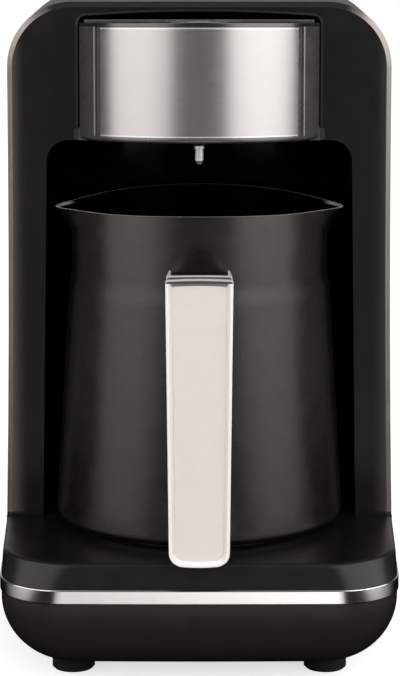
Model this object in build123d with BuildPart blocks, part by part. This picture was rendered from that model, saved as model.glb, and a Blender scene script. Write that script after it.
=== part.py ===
"""Electric Turkish coffee maker: base with a hot plate, arched column, head and lift-out pot.

Millimetres. The origin is on the floor under the pot's vertical axis, +Z is up and the
front of the machine faces -Y. The flat front of the column lies in the plane y = 0.
"""
import os
from math import cos, hypot, radians, sin

from build123d import *

# ---------------------------------------------------------------- driving dimensions
WALL = 2.4                # moulded housing wall
FIT = 0.3                 # gap between neighbouring housing parts
SNUG = 0.1                # gap between a part and the part that holds it

POT_NECK_RADIUS = 47.1
SHOULDER_STEP = 1.2       # the tapered body's top stands this much outside the neck
POT_TAPER = 6.2           # and its foot this much
POT_HEIGHT = 118.9
POT_WALL = 1.0
POT_EDGE = 3.6            # rounding of the pot's lower edge
POT_GAP = 0.05            # pot base above the hot plate
SHOULDER_DROP = 32.5      # rim to the top of the tapered body
NECK_DROP = 25.0          # rim to the straight neck
LIP_DROP = 13.0           # rim to the start of the pouring lips
LIP_REACH = 8.2
LIP_NOSE = 15.0
LIP_DIP = 2.5             # lip tips below the middle of the rim

FOOT_HEIGHT = 6.0
FOOT_RADIUS = 7.7
BOWL_HEIGHT = 26.1        # underside of the base to the bright band
BOWL_STRAIGHT = 2.1       # upright wall between the bowl's rounding and the band
BOWL_ARC = 71.5           # angle through which the bowl's wall rounds under
BAND_HEIGHT = 5.3
BAND_PROUD = 0.5
BAND_DEPTH = 1.3          # how far the band sits inside the wall's surface
DECK_WALL = 8.9           # band to the top of the deck
DECK_EDGE = 1.8           # rounded edge of the deck
PLATE_RADIUS = 43.0
PLATE_PROUD = 0.8
PLATE_SHEET = 2.5
SEAL_WIDTH = 1.0

NICHE_GAP = 5.3           # pot's foot to the side of its niche, at the deck
NICHE_TAPER = 2.4         # the niche narrows this much at each side towards its top
NICHE_CORNER = 8.0
BREW_GAP = 22.15          # pot rim to the top of the niche
LINER_WALL = 1.6
JAMB = 13.8               # width of the column's front beside the niche, at the deck
COLUMN_TAPER = 1.65       # the column narrows this much at each side above the deck
FLARE_DROP = 55.0         # top of the column to the start of that taper
ARCH_RADIUS = 24.0        # upper corners of the column
RIM_CHAMFER = 1.9         # bright rim round the column's front edge
LINER_SPACE = 3.5         # niche liner to the joint between front frame and rear cover
COVER_DEPTH = 18.5        # depth of the rear cover
REAR_CORNER = 7.0         # rounding of the rear edges

BASE_FRONT = 68.5         # pot axis to the front of the base at the band
BASE_TAPER = 2.2          # the base narrows this much at each side towards its front
BASE_CORNER = 23.0        # front corners in plan, at the band
DECK_SETBACK = 1.5        # deck's front edge behind the base's front
DECK_STEP = 0.9           # deck's side inside the base's side, at the front
DECK_CORNER = 28.0        # front corners in plan, at the deck
FRONT_CROWN = 0.8         # bow of the front edge

HEAD_RADIUS = 44.0
HEAD_LIFT = 0.7           # niche's top to the head's lower edge, at the column
HEAD_HEIGHT = 42.5        # lower edge to the top of the lid, at the column
HEAD_TILT = 3.5           # head's edges climb towards the front by this angle
HEAD_TAIL = 16.0          # how far the head reaches into the column
HEAD_WALL = 3.1
HEAD_GAP = 0.6            # open line between the head and the column's opening
OPENING_RISE = 4.1        # lid to the top of the column's opening
OPENING_CROWN = 1.8       # bow of the opening's upper edge
OPENING_CORNER = 3.0
CROWN = 7.6               # lid to the top of the column
TAIL_LIFT = 4.0           # niche's top to the underside of the head's tail
PANEL_ANGLE = 53.7        # half angle of the steel panel
PANEL_GROOVE = 5.0        # angle of the groove beside it
PANEL_SHEET = 0.8
PANEL_RISE = 1.85         # head's lower edge to the panel
LID_RIM = 1.8             # panel to the top of the lid
LID_SHEET = 1.4           # thickness of the lid at the column

BUTTON_RADIUS = 8.8
BUTTON_Y = -20.0
BUTTON_TRAVEL = 1.8
RING_WIDTH = 1.2

PROBE_RADIUS = 1.56
PROBE_REACH = 12.9        # head's floor to the probe's tip
COLLAR_REACH = 6.1        # head's floor to the end of the probe's collar
COLLAR_RADIUS = 3.4

ELEMENT_RADIUS = 29.0
ELEMENT_TUBE = 3.2

FINGER_SPACE = 20.7       # between the pot's foot and the handle
HANDLE_DROP = 16.45       # pot rim to the top of the handle
HANDLE_CLEAR = 2.25       # pot base to the handle's lower end
HANDLE_HALF_TOP = 11.55
HANDLE_HALF_BOTTOM = 10.4
HANDLE_CORNER = 5.0
SHELL_DEPTH = 4.2         # bright outer half of the handle
GRIP_DEPTH = 4.8          # dark inner half
FACE_RIM = 1.05           # flat rim round the handle's face
FACE_BEVEL = 1.05         # bevel inside that rim, as deep as it is wide
INLAY_SHEET = 1.1

SCREW_RADIUS = 1.5
SCREW_HEAD = 2.9
BOSS_RADIUS = 4.0

# ---------------------------------------------------------------- derived places
BAND_BOTTOM = FOOT_HEIGHT + BOWL_HEIGHT
BAND_TOP = BAND_BOTTOM + BAND_HEIGHT
BOWL_EDGE = BAND_BOTTOM - BOWL_STRAIGHT
BOWL_RADIUS = (BOWL_EDGE - FOOT_HEIGHT) / sin(radians(BOWL_ARC))
FLOOR_TOP = FOOT_HEIGHT + WALL
DECK = BAND_TOP + DECK_WALL
PLATE_TOP = DECK + PLATE_PROUD
PLATE_BOTTOM = PLATE_TOP - PLATE_SHEET
SHOULDER_RADIUS = POT_NECK_RADIUS + SHOULDER_STEP
POT_FOOT_RADIUS = POT_NECK_RADIUS + POT_TAPER
POT_BASE = PLATE_TOP + POT_GAP
POT_RIM = POT_BASE + POT_HEIGHT
NICHE_TOP = POT_RIM + BREW_GAP
NICHE_HALF_DECK = POT_FOOT_RADIUS + NICHE_GAP
NICHE_HALF_TOP = NICHE_HALF_DECK - NICHE_TAPER
LINER_BACK = NICHE_HALF_DECK + FIT + LINER_WALL
SPLIT = LINER_BACK + LINER_SPACE
REAR = SPLIT + COVER_DEPTH
DECK_HALF = NICHE_HALF_DECK + JAMB
COLUMN_HALF = DECK_HALF - COLUMN_TAPER
BASE_FRONT_HALF = DECK_HALF - BASE_TAPER
DECK_FRONT = BASE_FRONT - DECK_SETBACK
DECK_FRONT_HALF = BASE_FRONT_HALF - DECK_STEP
HEAD_BOTTOM = NICHE_TOP + HEAD_LIFT
HEAD_TOP = HEAD_BOTTOM + HEAD_HEIGHT
HEIGHT = HEAD_TOP + CROWN
FLARE_TOP = HEIGHT - FLARE_DROP
TAIL_BOTTOM = NICHE_TOP + TAIL_LIFT
CEILING_BOTTOM = TAIL_BOTTOM - FIT - LINER_WALL
PANEL_BOTTOM = HEAD_BOTTOM + PANEL_RISE
PANEL_TOP = HEAD_TOP - LID_RIM
LID_BOTTOM = HEAD_TOP - LID_SHEET
COLLAR_BOTTOM = TAIL_BOTTOM - COLLAR_REACH
PROBE_TIP = TAIL_BOTTOM - PROBE_REACH
HANDLE_FACE = POT_FOOT_RADIUS + FINGER_SPACE + GRIP_DEPTH + SHELL_DEPTH
HANDLE_TOP = POT_RIM - HANDLE_DROP
HANDLE_BOTTOM = POT_BASE + HANDLE_CLEAR

os.makedirs("parts", exist_ok=True)


def save(part, name):
    """Label one finished piece and write it."""
    part.label = name
    export_step(part, f"parts/{name}.step")


# ---------------------------------------------------------------- outlines used by several pieces
def base_plan(height, inset=0.0, front=BASE_FRONT, front_half=BASE_FRONT_HALF, corner=BASE_CORNER,
              rear_corner=REAR_CORNER):
    """Plan of the base at one height: parallel behind the column's front, tapered before it."""
    side = DECK_HALF - inset
    nose = front_half - inset
    front_y = inset - front
    rear_y = REAR - inset
    with BuildSketch(Plane.XY.offset(height)) as plan:
        with BuildLine():
            Polyline((nose, front_y + FRONT_CROWN), (side, 0), (side, rear_y), (-side, rear_y), (-side, 0),
                     (-nose, front_y + FRONT_CROWN))
            ThreePointArc((-nose, front_y + FRONT_CROWN), (0, front_y), (nose, front_y + FRONT_CROWN))
        make_face()
        fillet(plan.vertices().group_by(Axis.Y)[0], corner)
        fillet(plan.vertices().group_by(Axis.Y)[-1], rear_corner)
    return plan.sketch


def deck_plan(height, inset=0.0):
    """Plan of the deck, a little smaller and rounder at the front than the base below it."""
    return base_plan(height, inset, DECK_FRONT, DECK_FRONT_HALF, DECK_CORNER - inset,
                     REAR_CORNER - inset)


def arch(y, bottom, inset=0.0):
    """Front view of the column at one depth, from the deck or below it up to the top."""
    half = COLUMN_HALF - inset
    foot = DECK_HALF - inset
    top = HEIGHT - inset
    radius = ARCH_RADIUS - inset
    with BuildSketch(Plane.XZ.offset(-y)) as outline:
        with BuildLine():
            Line((0, bottom), (foot, bottom))
            if bottom < DECK:
                Line((foot, bottom), (foot, DECK))
            TangentArc((half, FLARE_TOP), (foot, DECK), tangent=(0, -1))
            Line((half, FLARE_TOP), (half, top - radius))
            RadiusArc((half, top - radius), (half - radius, top), -radius)
            Line((half - radius, top), (0, top))
            mirror(about=Plane.YZ)
        make_face()
    return outline.sketch


def niche_half(height):
    """Half width of the pot's niche, which narrows towards its top."""
    share = (height - DECK) / (NICHE_TOP - DECK)
    return NICHE_HALF_DECK + (NICHE_HALF_TOP - NICHE_HALF_DECK) * share


def sector(plane_height, radius, half_angle):
    """Wedge of a disc round the pot axis, centred on the front direction."""
    reach = 2 * radius
    side_x = reach * sin(radians(half_angle))
    side_y = -reach * cos(radians(half_angle))
    with BuildSketch(Plane.XY.offset(plane_height)) as wedge:
        with BuildLine():
            Polyline((0, 0), (side_x, side_y), (0, -reach), (-side_x, side_y), (0, 0))
        make_face()
        Circle(radius, mode=Mode.INTERSECT)
    return wedge.sketch


def head_plan(height, inset=0.0):
    """Half disc before the column and a straight tail behind its front."""
    radius = HEAD_RADIUS - inset
    with BuildSketch(Plane.XY.offset(height)) as plan:
        with BuildLine():
            RadiusArc((-radius, 0), (radius, 0), -radius)
            Polyline((radius, 0), (radius, HEAD_TAIL), (-radius, HEAD_TAIL), (-radius, 0))
        make_face()
    return plan.sketch


def head_level(height):
    """Plane that passes through a height at the column's front and climbs towards the front."""
    tilt = radians(HEAD_TILT)
    return Plane(origin=(0, 0, height), x_dir=(1, 0, 0), z_dir=(0, sin(tilt), cos(tilt)))


def beyond_level(height, side):
    """Everything above (side 1) or below (side -1) such a plane."""
    with BuildPart() as block:
        with BuildSketch(head_level(height)):
            Rectangle(4 * HEAD_RADIUS, 4 * HEAD_RADIUS)
        extrude(amount=side * 2 * HEAD_RADIUS)
    return block.part


# ---------------------------------------------------------------- feet
FOOT_SIDE = 26.8          # side of the base to the middle of a foot
FOOT_FRONT = 30.5         # front of the base to the front feet
FOOT_REAR = 24.5          # back of the machine to the rear feet
FOOT_BEVEL = 0.8
FOOT_HOLLOW = 4.0
HOLLOW_DEPTH = 1.5
FOOT_STEM = 3.0           # stem through the base's floor
BARB_RADIUS = 4.2
BARB_HEIGHT = 1.6
BARB_TAPER = 25
foot_spots = [(x, y) for x in (FOOT_SIDE - DECK_HALF, DECK_HALF - FOOT_SIDE)
              for y in (FOOT_FRONT - BASE_FRONT, REAR - FOOT_REAR)]

with BuildPart() as feet:
    with Locations(*foot_spots):
        Cylinder(FOOT_RADIUS, FOOT_HEIGHT, align=(Align.CENTER, Align.CENTER, Align.MIN))
    chamfer(feet.edges().filter_by(GeomType.CIRCLE).group_by(Axis.Z)[0], FOOT_BEVEL)
    with BuildSketch(Plane.XY):
        with Locations(*foot_spots):
            Circle(FOOT_HOLLOW)
    extrude(amount=HOLLOW_DEPTH, mode=Mode.SUBTRACT)
    with BuildSketch(Plane.XY.offset(FOOT_HEIGHT)):
        with Locations(*foot_spots):
            Circle(FOOT_STEM)
    extrude(amount=WALL)
    with BuildSketch(Plane.XY.offset(FLOOR_TOP)):
        with Locations(*foot_spots):
            Circle(BARB_RADIUS)
    extrude(amount=BARB_HEIGHT, taper=BARB_TAPER)
save(feet.part, "feet")

# ---------------------------------------------------------------- base bowl
BASE_SCREW_X = PLATE_RADIUS + 7.0
BASE_SCREW_FRONT = -18.0
BASE_SCREW_REAR = 36.0
BASE_SCREW_SINK = 10.0    # screw heads sit this deep in the towers
TOWER_WALL = 1.0          # the towers are this much wider than the posts on them
HEAD_CLEAR = 0.3          # round a sunk screw head
HEAD_SHEET = 2.0          # height of a screw head
POST_GAP = 2.0            # straight wall's lower edge to the top of the towers
BOWL_STEPS = 4
CORNER_SHRINK = 0.75      # share of the tuck by which the front corners tighten
REAR_SHRINK = 0.2         # and the rear corners
VENT_COUNT = 7
VENT_LENGTH = 22.0
VENT_WIDTH = 2.2
VENT_PITCH = 5.0
VENT_Y = -12.0
base_screw_spots = [(x, y) for x in (-BASE_SCREW_X, BASE_SCREW_X)
                    for y in (BASE_SCREW_FRONT, BASE_SCREW_REAR)]
BASE_SCREW_SEAT = FOOT_HEIGHT + BASE_SCREW_SINK
POST_SEAT = BOWL_EDGE - POST_GAP


def bowl_sections(inset, drop):
    """Plans of the bowl from its underside up to its straight wall."""
    plans = []
    for step in range(BOWL_STEPS):
        angle = radians(BOWL_ARC * (1 - step / (BOWL_STEPS - 1)))
        tuck = BOWL_RADIUS * (1 - cos(angle))
        height = BOWL_EDGE - BOWL_RADIUS * sin(angle) + drop
        plans.append(base_plan(height, tuck + inset, corner=BASE_CORNER - CORNER_SHRINK * tuck - inset / 2,
                               rear_corner=REAR_CORNER - REAR_SHRINK * tuck - inset / 2))
    return plans


with BuildPart() as base_bowl:
    loft(bowl_sections(0, 0))
    extrude(base_plan(BOWL_EDGE), amount=BAND_BOTTOM - BOWL_EDGE)
    extrude(base_plan(BAND_BOTTOM, BAND_DEPTH + SNUG), amount=BAND_HEIGHT - SNUG)
    loft(bowl_sections(WALL, WALL), mode=Mode.SUBTRACT)
    extrude(base_plan(BOWL_EDGE + WALL, WALL), amount=BAND_TOP, mode=Mode.SUBTRACT)
    with BuildSketch(Plane.XY.offset(FOOT_HEIGHT)):
        with Locations(*base_screw_spots):
            Circle(BOSS_RADIUS + TOWER_WALL)
    extrude(amount=POST_SEAT - FOOT_HEIGHT)
    with BuildSketch(Plane.XY.offset(FOOT_HEIGHT)):
        with Locations(*base_screw_spots):
            Circle(SCREW_HEAD + HEAD_CLEAR)
    extrude(amount=BASE_SCREW_SEAT - FOOT_HEIGHT, mode=Mode.SUBTRACT)
    with BuildSketch(Plane.XY.offset(BASE_SCREW_SEAT)):
        with Locations(*base_screw_spots):
            Circle(SCREW_RADIUS + SNUG)
    extrude(amount=POST_SEAT, mode=Mode.SUBTRACT)
    with BuildSketch(Plane.XY.offset(FOOT_HEIGHT)):
        with Locations(*foot_spots):
            Circle(FOOT_STEM + SNUG / 2)
        with Locations((0, VENT_Y)):
            with GridLocations(VENT_PITCH, 1, VENT_COUNT, 1):
                SlotOverall(VENT_LENGTH, VENT_WIDTH, rotation=90)
    extrude(amount=WALL + 1, mode=Mode.SUBTRACT)
save(base_bowl.part, "base_bowl")

BASE_SCREW_LENGTH = 20.0
with BuildPart() as base_screws:
    with BuildSketch(Plane.XY.offset(BASE_SCREW_SEAT)):
        with Locations(*base_screw_spots):
            Circle(SCREW_RADIUS)
    extrude(amount=BASE_SCREW_LENGTH)
    with BuildSketch(Plane.XY.offset(BASE_SCREW_SEAT)):
        with Locations(*base_screw_spots):
            Circle(SCREW_HEAD)
    extrude(amount=-HEAD_SHEET)
save(base_screws.part, "base_screws")

# ---------------------------------------------------------------- bright band round the base
BAND_ROUND = 0.45
with BuildPart() as base_band:
    extrude(base_plan(BAND_BOTTOM + SNUG / 2, -BAND_PROUD, corner=BASE_CORNER + BAND_PROUD,
                      rear_corner=REAR_CORNER + BAND_PROUD), amount=BAND_HEIGHT - SNUG)
    fillet(base_band.faces().filter_by(Axis.Z).edges(), BAND_ROUND)
    extrude(base_plan(BAND_BOTTOM, BAND_DEPTH, corner=BASE_CORNER - BAND_DEPTH,
                      rear_corner=REAR_CORNER - BAND_DEPTH), amount=BAND_HEIGHT, mode=Mode.SUBTRACT)
save(base_band.part, "base_band")

# ---------------------------------------------------------------- front frame: deck and arched column
CARRIER_Y = 6.0
CARRIER_GAP = 0.6         # heating element to the strap that carries it
CARRIER_TOP = PLATE_BOTTOM - 2 * ELEMENT_TUBE - CARRIER_GAP
LINER_SCREW_SIDE = 3.9    # side wall's inside to the liner's screws
LINER_SCREW_RISE = 33.7   # deck to the lower ones
LINER_SCREW_DROP = 20.2   # niche's top to the upper ones
LINER_BOSS = 9.0          # depth of the bosses that hold the niche liner
LINER_BOSS_RADIUS = 3.0
REAR_BOSS_LENGTH = 14.0
REAR_BOSS_SINK = 0.8      # how far the bosses run into the side walls
REAR_SCREW_RISE = 15.7    # deck to the lower screws of the rear cover
REAR_SCREW_DROP = 37.0    # column's top to the upper ones
SLEEVE_DEPTH = 12.0       # sleeve behind the head opening
SLEEVE_WALL = 1.6
DECK_BACK = 0.5           # niche liner to the rear edge of the deck
OPENING_EDGE = 0.8        # bevel round the head's opening
OPENING_LAP = 2.0         # the opening is cut this far down into the niche
BLIND_END = 1.0           # a blind screw hole runs this far past its screw
CARRIER_SCREW_REACH = 4.5 # into the posts under the deck
carrier_spots = [(-BASE_SCREW_X, CARRIER_Y), (BASE_SCREW_X, CARRIER_Y)]
DECK_REACH = LINER_BACK + DECK_BACK
REAR_BOSS_START = SPLIT - REAR_BOSS_LENGTH


def column_half(height):
    """Outside half width of the column at one height."""
    drop = max(0.0, FLARE_TOP - height) / (FLARE_TOP - DECK)
    return COLUMN_HALF + (DECK_HALF - COLUMN_HALF) * drop ** 2


rear_screw_spots = [(side * (column_half(z) - WALL - BOSS_RADIUS + REAR_BOSS_SINK), z)
                    for side in (-1, 1) for z in (DECK + REAR_SCREW_RISE, HEIGHT - REAR_SCREW_DROP)]
liner_screw_spots = [(side * (column_half(z) - WALL - LINER_SCREW_SIDE), z)
                     for side in (-1, 1) for z in (DECK + LINER_SCREW_RISE, NICHE_TOP - LINER_SCREW_DROP)]


def niche_outline(y):
    """Front view of the niche opening."""
    with BuildSketch(Plane.XZ.offset(-y)) as opening:
        with BuildLine():
            Polyline((-NICHE_HALF_DECK, DECK), (NICHE_HALF_DECK, DECK), (NICHE_HALF_TOP, NICHE_TOP),
                     (-NICHE_HALF_TOP, NICHE_TOP), (-NICHE_HALF_DECK, DECK))
        make_face()
        fillet(opening.vertices().group_by(Axis.Y)[-1], NICHE_CORNER)
    return opening.sketch


def head_opening(y, grow=0.0, bottom=NICHE_TOP - OPENING_LAP):
    """Front view of the opening that takes the head, with a bowed upper edge."""
    half = HEAD_RADIUS + HEAD_GAP + grow
    top = HEAD_TOP + OPENING_RISE + grow
    shoulder = top - OPENING_CROWN
    with BuildSketch(Plane.XZ.offset(-y)) as opening:
        with BuildLine():
            Polyline((-half, shoulder), (-half, bottom), (half, bottom), (half, shoulder))
            ThreePointArc((-half, shoulder), (0, top), (half, shoulder))
        make_face()
        fillet(opening.vertices().group_by(Axis.Y)[-1], OPENING_CORNER + grow)
    return opening.sketch


def column_block():
    """Solid column above the deck with its chamfered rim."""
    with BuildPart() as column:
        extrude(arch(0, DECK), amount=REAR, dir=(0, 1, 0))
        rim = column.faces().sort_by(Axis.Y)[0].edges()
        chamfer(rim.filter_by(lambda edge: edge.center().Z > DECK + 1), RIM_CHAMFER)
    return column.part


def deck_block():
    """Solid wall and deck above the bright band, square-edged where the column stands on it."""
    with BuildPart() as block:
        loft([base_plan(BAND_TOP), deck_plan(DECK)])
        fillet(block.faces().sort_by(Axis.Z)[-1].edges(), DECK_EDGE)
        extrude(arch(0, BAND_TOP), amount=REAR, dir=(0, 1, 0))
        with BuildSketch(Plane.XY.offset(DECK)):
            Rectangle(3 * DECK_HALF, 3 * REAR)
        extrude(amount=HEIGHT, mode=Mode.SUBTRACT)
    return block.part


def housing_hollow():
    """Space inside the base's upper wall and the column, with the deck left between them."""
    with BuildPart() as hollow:
        loft([base_plan(BAND_TOP, WALL), deck_plan(DECK - WALL, WALL)])
        extrude(arch(WALL, DECK, WALL), amount=REAR, dir=(0, 1, 0))
        with BuildSketch(Plane.XY.offset(BAND_TOP)):
            with Locations((0, (DECK_REACH + REAR) / 2)):
                Rectangle(2 * (DECK_HALF - WALL), REAR - DECK_REACH)
        extrude(amount=DECK)
    return hollow.part


def behind(y):
    """Block that holds everything behind a plane across the machine."""
    with BuildPart() as block:
        with BuildSketch(Plane.XZ.offset(-y)):
            Rectangle(3 * DECK_HALF, 3 * HEIGHT)
        extrude(amount=-REAR)
    return block.part


with BuildPart() as front_frame:
    add(deck_block())
    add(column_block())
    add(housing_hollow(), mode=Mode.SUBTRACT)
    add(behind(SPLIT), mode=Mode.SUBTRACT)
    # sleeve that guides the head
    extrude(head_opening(WALL, SLEEVE_WALL, TAIL_BOTTOM), amount=SLEEVE_DEPTH, dir=(0, 1, 0))
    extrude(head_opening(-1), amount=SLEEVE_DEPTH + WALL + 2, dir=(0, 1, 0), mode=Mode.SUBTRACT)
    extrude(niche_outline(-1), amount=WALL + 1, dir=(0, 1, 0), mode=Mode.SUBTRACT)
    loft([head_opening(-0.01, OPENING_EDGE), head_opening(OPENING_EDGE)], mode=Mode.SUBTRACT)
    # bosses for liner and rear cover
    with BuildSketch(Plane.XZ.offset(-WALL / 2)):
        with Locations(*liner_screw_spots):
            Circle(LINER_BOSS_RADIUS)
    extrude(amount=-(LINER_BOSS - WALL / 2))
    with BuildSketch(Plane.XZ.offset(-REAR_BOSS_START)):
        with Locations(*rear_screw_spots):
            Circle(BOSS_RADIUS)
    extrude(amount=-(SPLIT - REAR_BOSS_START))
    # posts under the deck
    with BuildSketch(Plane.XY.offset(DECK - WALL / 2)):
        with Locations(*base_screw_spots):
            Circle(BOSS_RADIUS)
    extrude(amount=POST_SEAT + SNUG - (DECK - WALL / 2))
    with BuildSketch(Plane.XY.offset(DECK - WALL / 2)):
        with Locations(*carrier_spots):
            Circle(BOSS_RADIUS)
    extrude(amount=CARRIER_TOP - (DECK - WALL / 2))
    # screw holes
    with BuildSketch(Plane.XZ.offset(-LINER_BOSS)):
        with Locations(*liner_screw_spots):
            Circle(SCREW_RADIUS)
    extrude(amount=LINER_BOSS - WALL, mode=Mode.SUBTRACT)
    with BuildSketch(Plane.XZ.offset(-SPLIT)):
        with Locations(*rear_screw_spots):
            Circle(SCREW_RADIUS)
    extrude(amount=REAR_BOSS_LENGTH - BLIND_END, mode=Mode.SUBTRACT)
    with BuildSketch(Plane.XY.offset(POST_SEAT)):
        with Locations(*base_screw_spots):
            Circle(SCREW_RADIUS)
    extrude(amount=BASE_SCREW_SEAT + BASE_SCREW_LENGTH + BLIND_END - POST_SEAT, mode=Mode.SUBTRACT)
    with BuildSketch(Plane.XY.offset(CARRIER_TOP)):
        with Locations(*carrier_spots):
            Circle(SCREW_RADIUS)
    extrude(amount=CARRIER_SCREW_REACH + BLIND_END / 2, mode=Mode.SUBTRACT)
    # opening for the hot plate
    with BuildSketch(Plane.XY.offset(DECK + 1)):
        Circle(PLATE_RADIUS + SEAL_WIDTH)
    extrude(amount=-(WALL + 2), mode=Mode.SUBTRACT)
save(front_frame.part, "front_frame")

# ---------------------------------------------------------------- niche liner
LINER_TAB = 13.0
LINER_TAB_WIDTH = 10.0
LINER_TAB_SHIFT = 1.8      # tabs reach inwards to the liner's wall
LINER_SCREW_REACH = 6.0
LINER_SEAT = WALL + SNUG   # the liner starts behind the frame's front wall
COLLAR_RELIEF = 4.6        # notch in the ceiling round the probe's collar


def liner_cone(offset, top):
    """Half cone round the pot axis, behind the column's front."""
    lower = niche_half(DECK) + FIT + offset
    upper = niche_half(top) + FIT + offset
    with BuildPart() as cone:
        with BuildSketch(Plane.XZ):
            with BuildLine():
                Polyline((0, DECK + SNUG), (lower, DECK + SNUG), (upper, top), (0, top), (0, DECK + SNUG))
            make_face()
        revolve(axis=Axis.Z, revolution_arc=360)
    return cone.part


with BuildPart() as niche_liner:
    add(liner_cone(LINER_WALL, CEILING_BOTTOM + LINER_WALL))
    for x, z in liner_screw_spots:
        with BuildSketch(Plane.XZ.offset(-LINER_BOSS - SNUG)):
            with Locations((x - LINER_TAB_SHIFT * x / abs(x), z)):
                Rectangle(LINER_TAB_WIDTH, LINER_TAB)
        extrude(amount=-LINER_WALL)
    add(liner_cone(0, CEILING_BOTTOM), mode=Mode.SUBTRACT)
    with BuildSketch(Plane.XZ.offset(-LINER_SEAT)):
        Rectangle(3 * DECK_HALF, 3 * HEIGHT)
    extrude(amount=DECK_HALF, mode=Mode.SUBTRACT)
    with BuildSketch(Plane.XY.offset(CEILING_BOTTOM - 1)):
        Circle(COLLAR_RELIEF)
    extrude(amount=LINER_WALL + 2, mode=Mode.SUBTRACT)
    with BuildSketch(Plane.XZ.offset(-LINER_BOSS)):
        with Locations(*liner_screw_spots):
            Circle(SCREW_RADIUS + SNUG)
    extrude(amount=-LINER_WALL - 1, mode=Mode.SUBTRACT)
save(niche_liner.part, "niche_liner")

LINER_SCREW_SEAT = LINER_BOSS + SNUG + LINER_WALL
with BuildPart() as liner_screws:
    with BuildSketch(Plane.XZ.offset(-LINER_SCREW_SEAT)):
        with Locations(*liner_screw_spots):
            Circle(SCREW_RADIUS)
    extrude(amount=LINER_SCREW_REACH)
    with BuildSketch(Plane.XZ.offset(-LINER_SCREW_SEAT)):
        with Locations(*liner_screw_spots):
            Circle(SCREW_HEAD)
    extrude(amount=-HEAD_SHEET)
save(liner_screws.part, "liner_screws")

# ---------------------------------------------------------------- rear cover
GLAND_Z = DECK + 13.7
GLAND_RADIUS = 6.0
GLAND_BORE = 3.6
GLAND_FLANGE = 2.0         # width and thickness of the gland's flange inside the cover
REAR_SCREW_SEAT = REAR - 9.5
REAR_SCREW_REACH = 18.0
TONGUE = 2.6
TONGUE_WALL = 1.2
POST_SPACE = 3.0           # posts stop this far before the cover's outside
REAR_VENT_COUNT = 9
REAR_VENT_PITCH = 7.0
REAR_VENT_LENGTH = 26.0
REAR_VENT_WIDTH = 2.6
REAR_VENT_Z = HEIGHT - 31.0

with BuildPart() as rear_cover:
    extrude(arch(SPLIT + SNUG, BAND_TOP + SNUG), amount=REAR - SPLIT - SNUG, dir=(0, 1, 0))
    rear_edges = rear_cover.faces().sort_by(Axis.Y)[-1].edges()
    fillet(rear_edges.filter_by(lambda edge: edge.center().Z > BAND_TOP + 1), REAR_CORNER)
    extrude(arch(SPLIT, BAND_TOP, WALL), amount=REAR - SPLIT - WALL, dir=(0, 1, 0), mode=Mode.SUBTRACT)
    # tongue that slips inside the front frame
    extrude(arch(SPLIT - TONGUE, DECK, WALL + SNUG), amount=TONGUE + 2, dir=(0, 1, 0))
    extrude(arch(SPLIT - TONGUE - 1, DECK, WALL + SNUG + TONGUE_WALL), amount=TONGUE + 4, dir=(0, 1, 0),
            mode=Mode.SUBTRACT)
    # screw posts
    with BuildSketch(Plane.XZ.offset(-(SPLIT - TONGUE - 1))):
        with Locations(*rear_screw_spots):
            Circle(BOSS_RADIUS + FIT)
    extrude(amount=-(TONGUE + 1 + SNUG), mode=Mode.SUBTRACT)
    with BuildSketch(Plane.XZ.offset(-SPLIT - SNUG)):
        with Locations(*rear_screw_spots):
            Circle(BOSS_RADIUS)
    extrude(amount=-(REAR - SPLIT - POST_SPACE))
    with BuildSketch(Plane.XZ.offset(-REAR_SCREW_SEAT)):
        with Locations(*rear_screw_spots):
            Circle(SCREW_HEAD + HEAD_CLEAR)
    extrude(amount=-REAR, mode=Mode.SUBTRACT)
    with BuildSketch(Plane.XZ.offset(-(SPLIT - TONGUE - 1))):
        with Locations(*rear_screw_spots):
            Circle(SCREW_RADIUS + SNUG)
    extrude(amount=-REAR, mode=Mode.SUBTRACT)
    # cooling slots and cord outlet
    with BuildSketch(Plane.XZ.offset(-(REAR - WALL - 1))):
        with Locations((0, REAR_VENT_Z)):
            with GridLocations(REAR_VENT_PITCH, 1, REAR_VENT_COUNT, 1):
                SlotOverall(REAR_VENT_LENGTH, REAR_VENT_WIDTH, rotation=90)
        with Locations((0, GLAND_Z)):
            Circle(GLAND_RADIUS + SNUG / 2)
    extrude(amount=-2 * WALL, mode=Mode.SUBTRACT)
save(rear_cover.part, "rear_cover")

with BuildPart() as rear_screws:
    with BuildSketch(Plane.XZ.offset(-REAR_SCREW_SEAT)):
        with Locations(*rear_screw_spots):
            Circle(SCREW_RADIUS)
    extrude(amount=REAR_SCREW_REACH)
    with BuildSketch(Plane.XZ.offset(-REAR_SCREW_SEAT)):
        with Locations(*rear_screw_spots):
            Circle(SCREW_HEAD)
    extrude(amount=-HEAD_SHEET)
save(rear_screws.part, "rear_screws")

GLAND_LENGTH = 10.0
with BuildPart() as cord_gland:
    with BuildSketch(Plane.XZ.offset(-REAR)):
        with Locations((0, GLAND_Z)):
            Circle(GLAND_RADIUS)
    extrude(amount=GLAND_LENGTH)
    with BuildSketch(Plane.XZ.offset(-(REAR - WALL - SNUG / 2))):
        with Locations((0, GLAND_Z)):
            Circle(GLAND_RADIUS + GLAND_FLANGE)
    extrude(amount=GLAND_FLANGE)
    with BuildSketch(Plane.XZ.offset(-REAR)):
        with Locations((0, GLAND_Z)):
            Circle(GLAND_BORE)
    extrude(amount=GLAND_LENGTH, mode=Mode.SUBTRACT)
save(cord_gland.part, "cord_gland")

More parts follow.
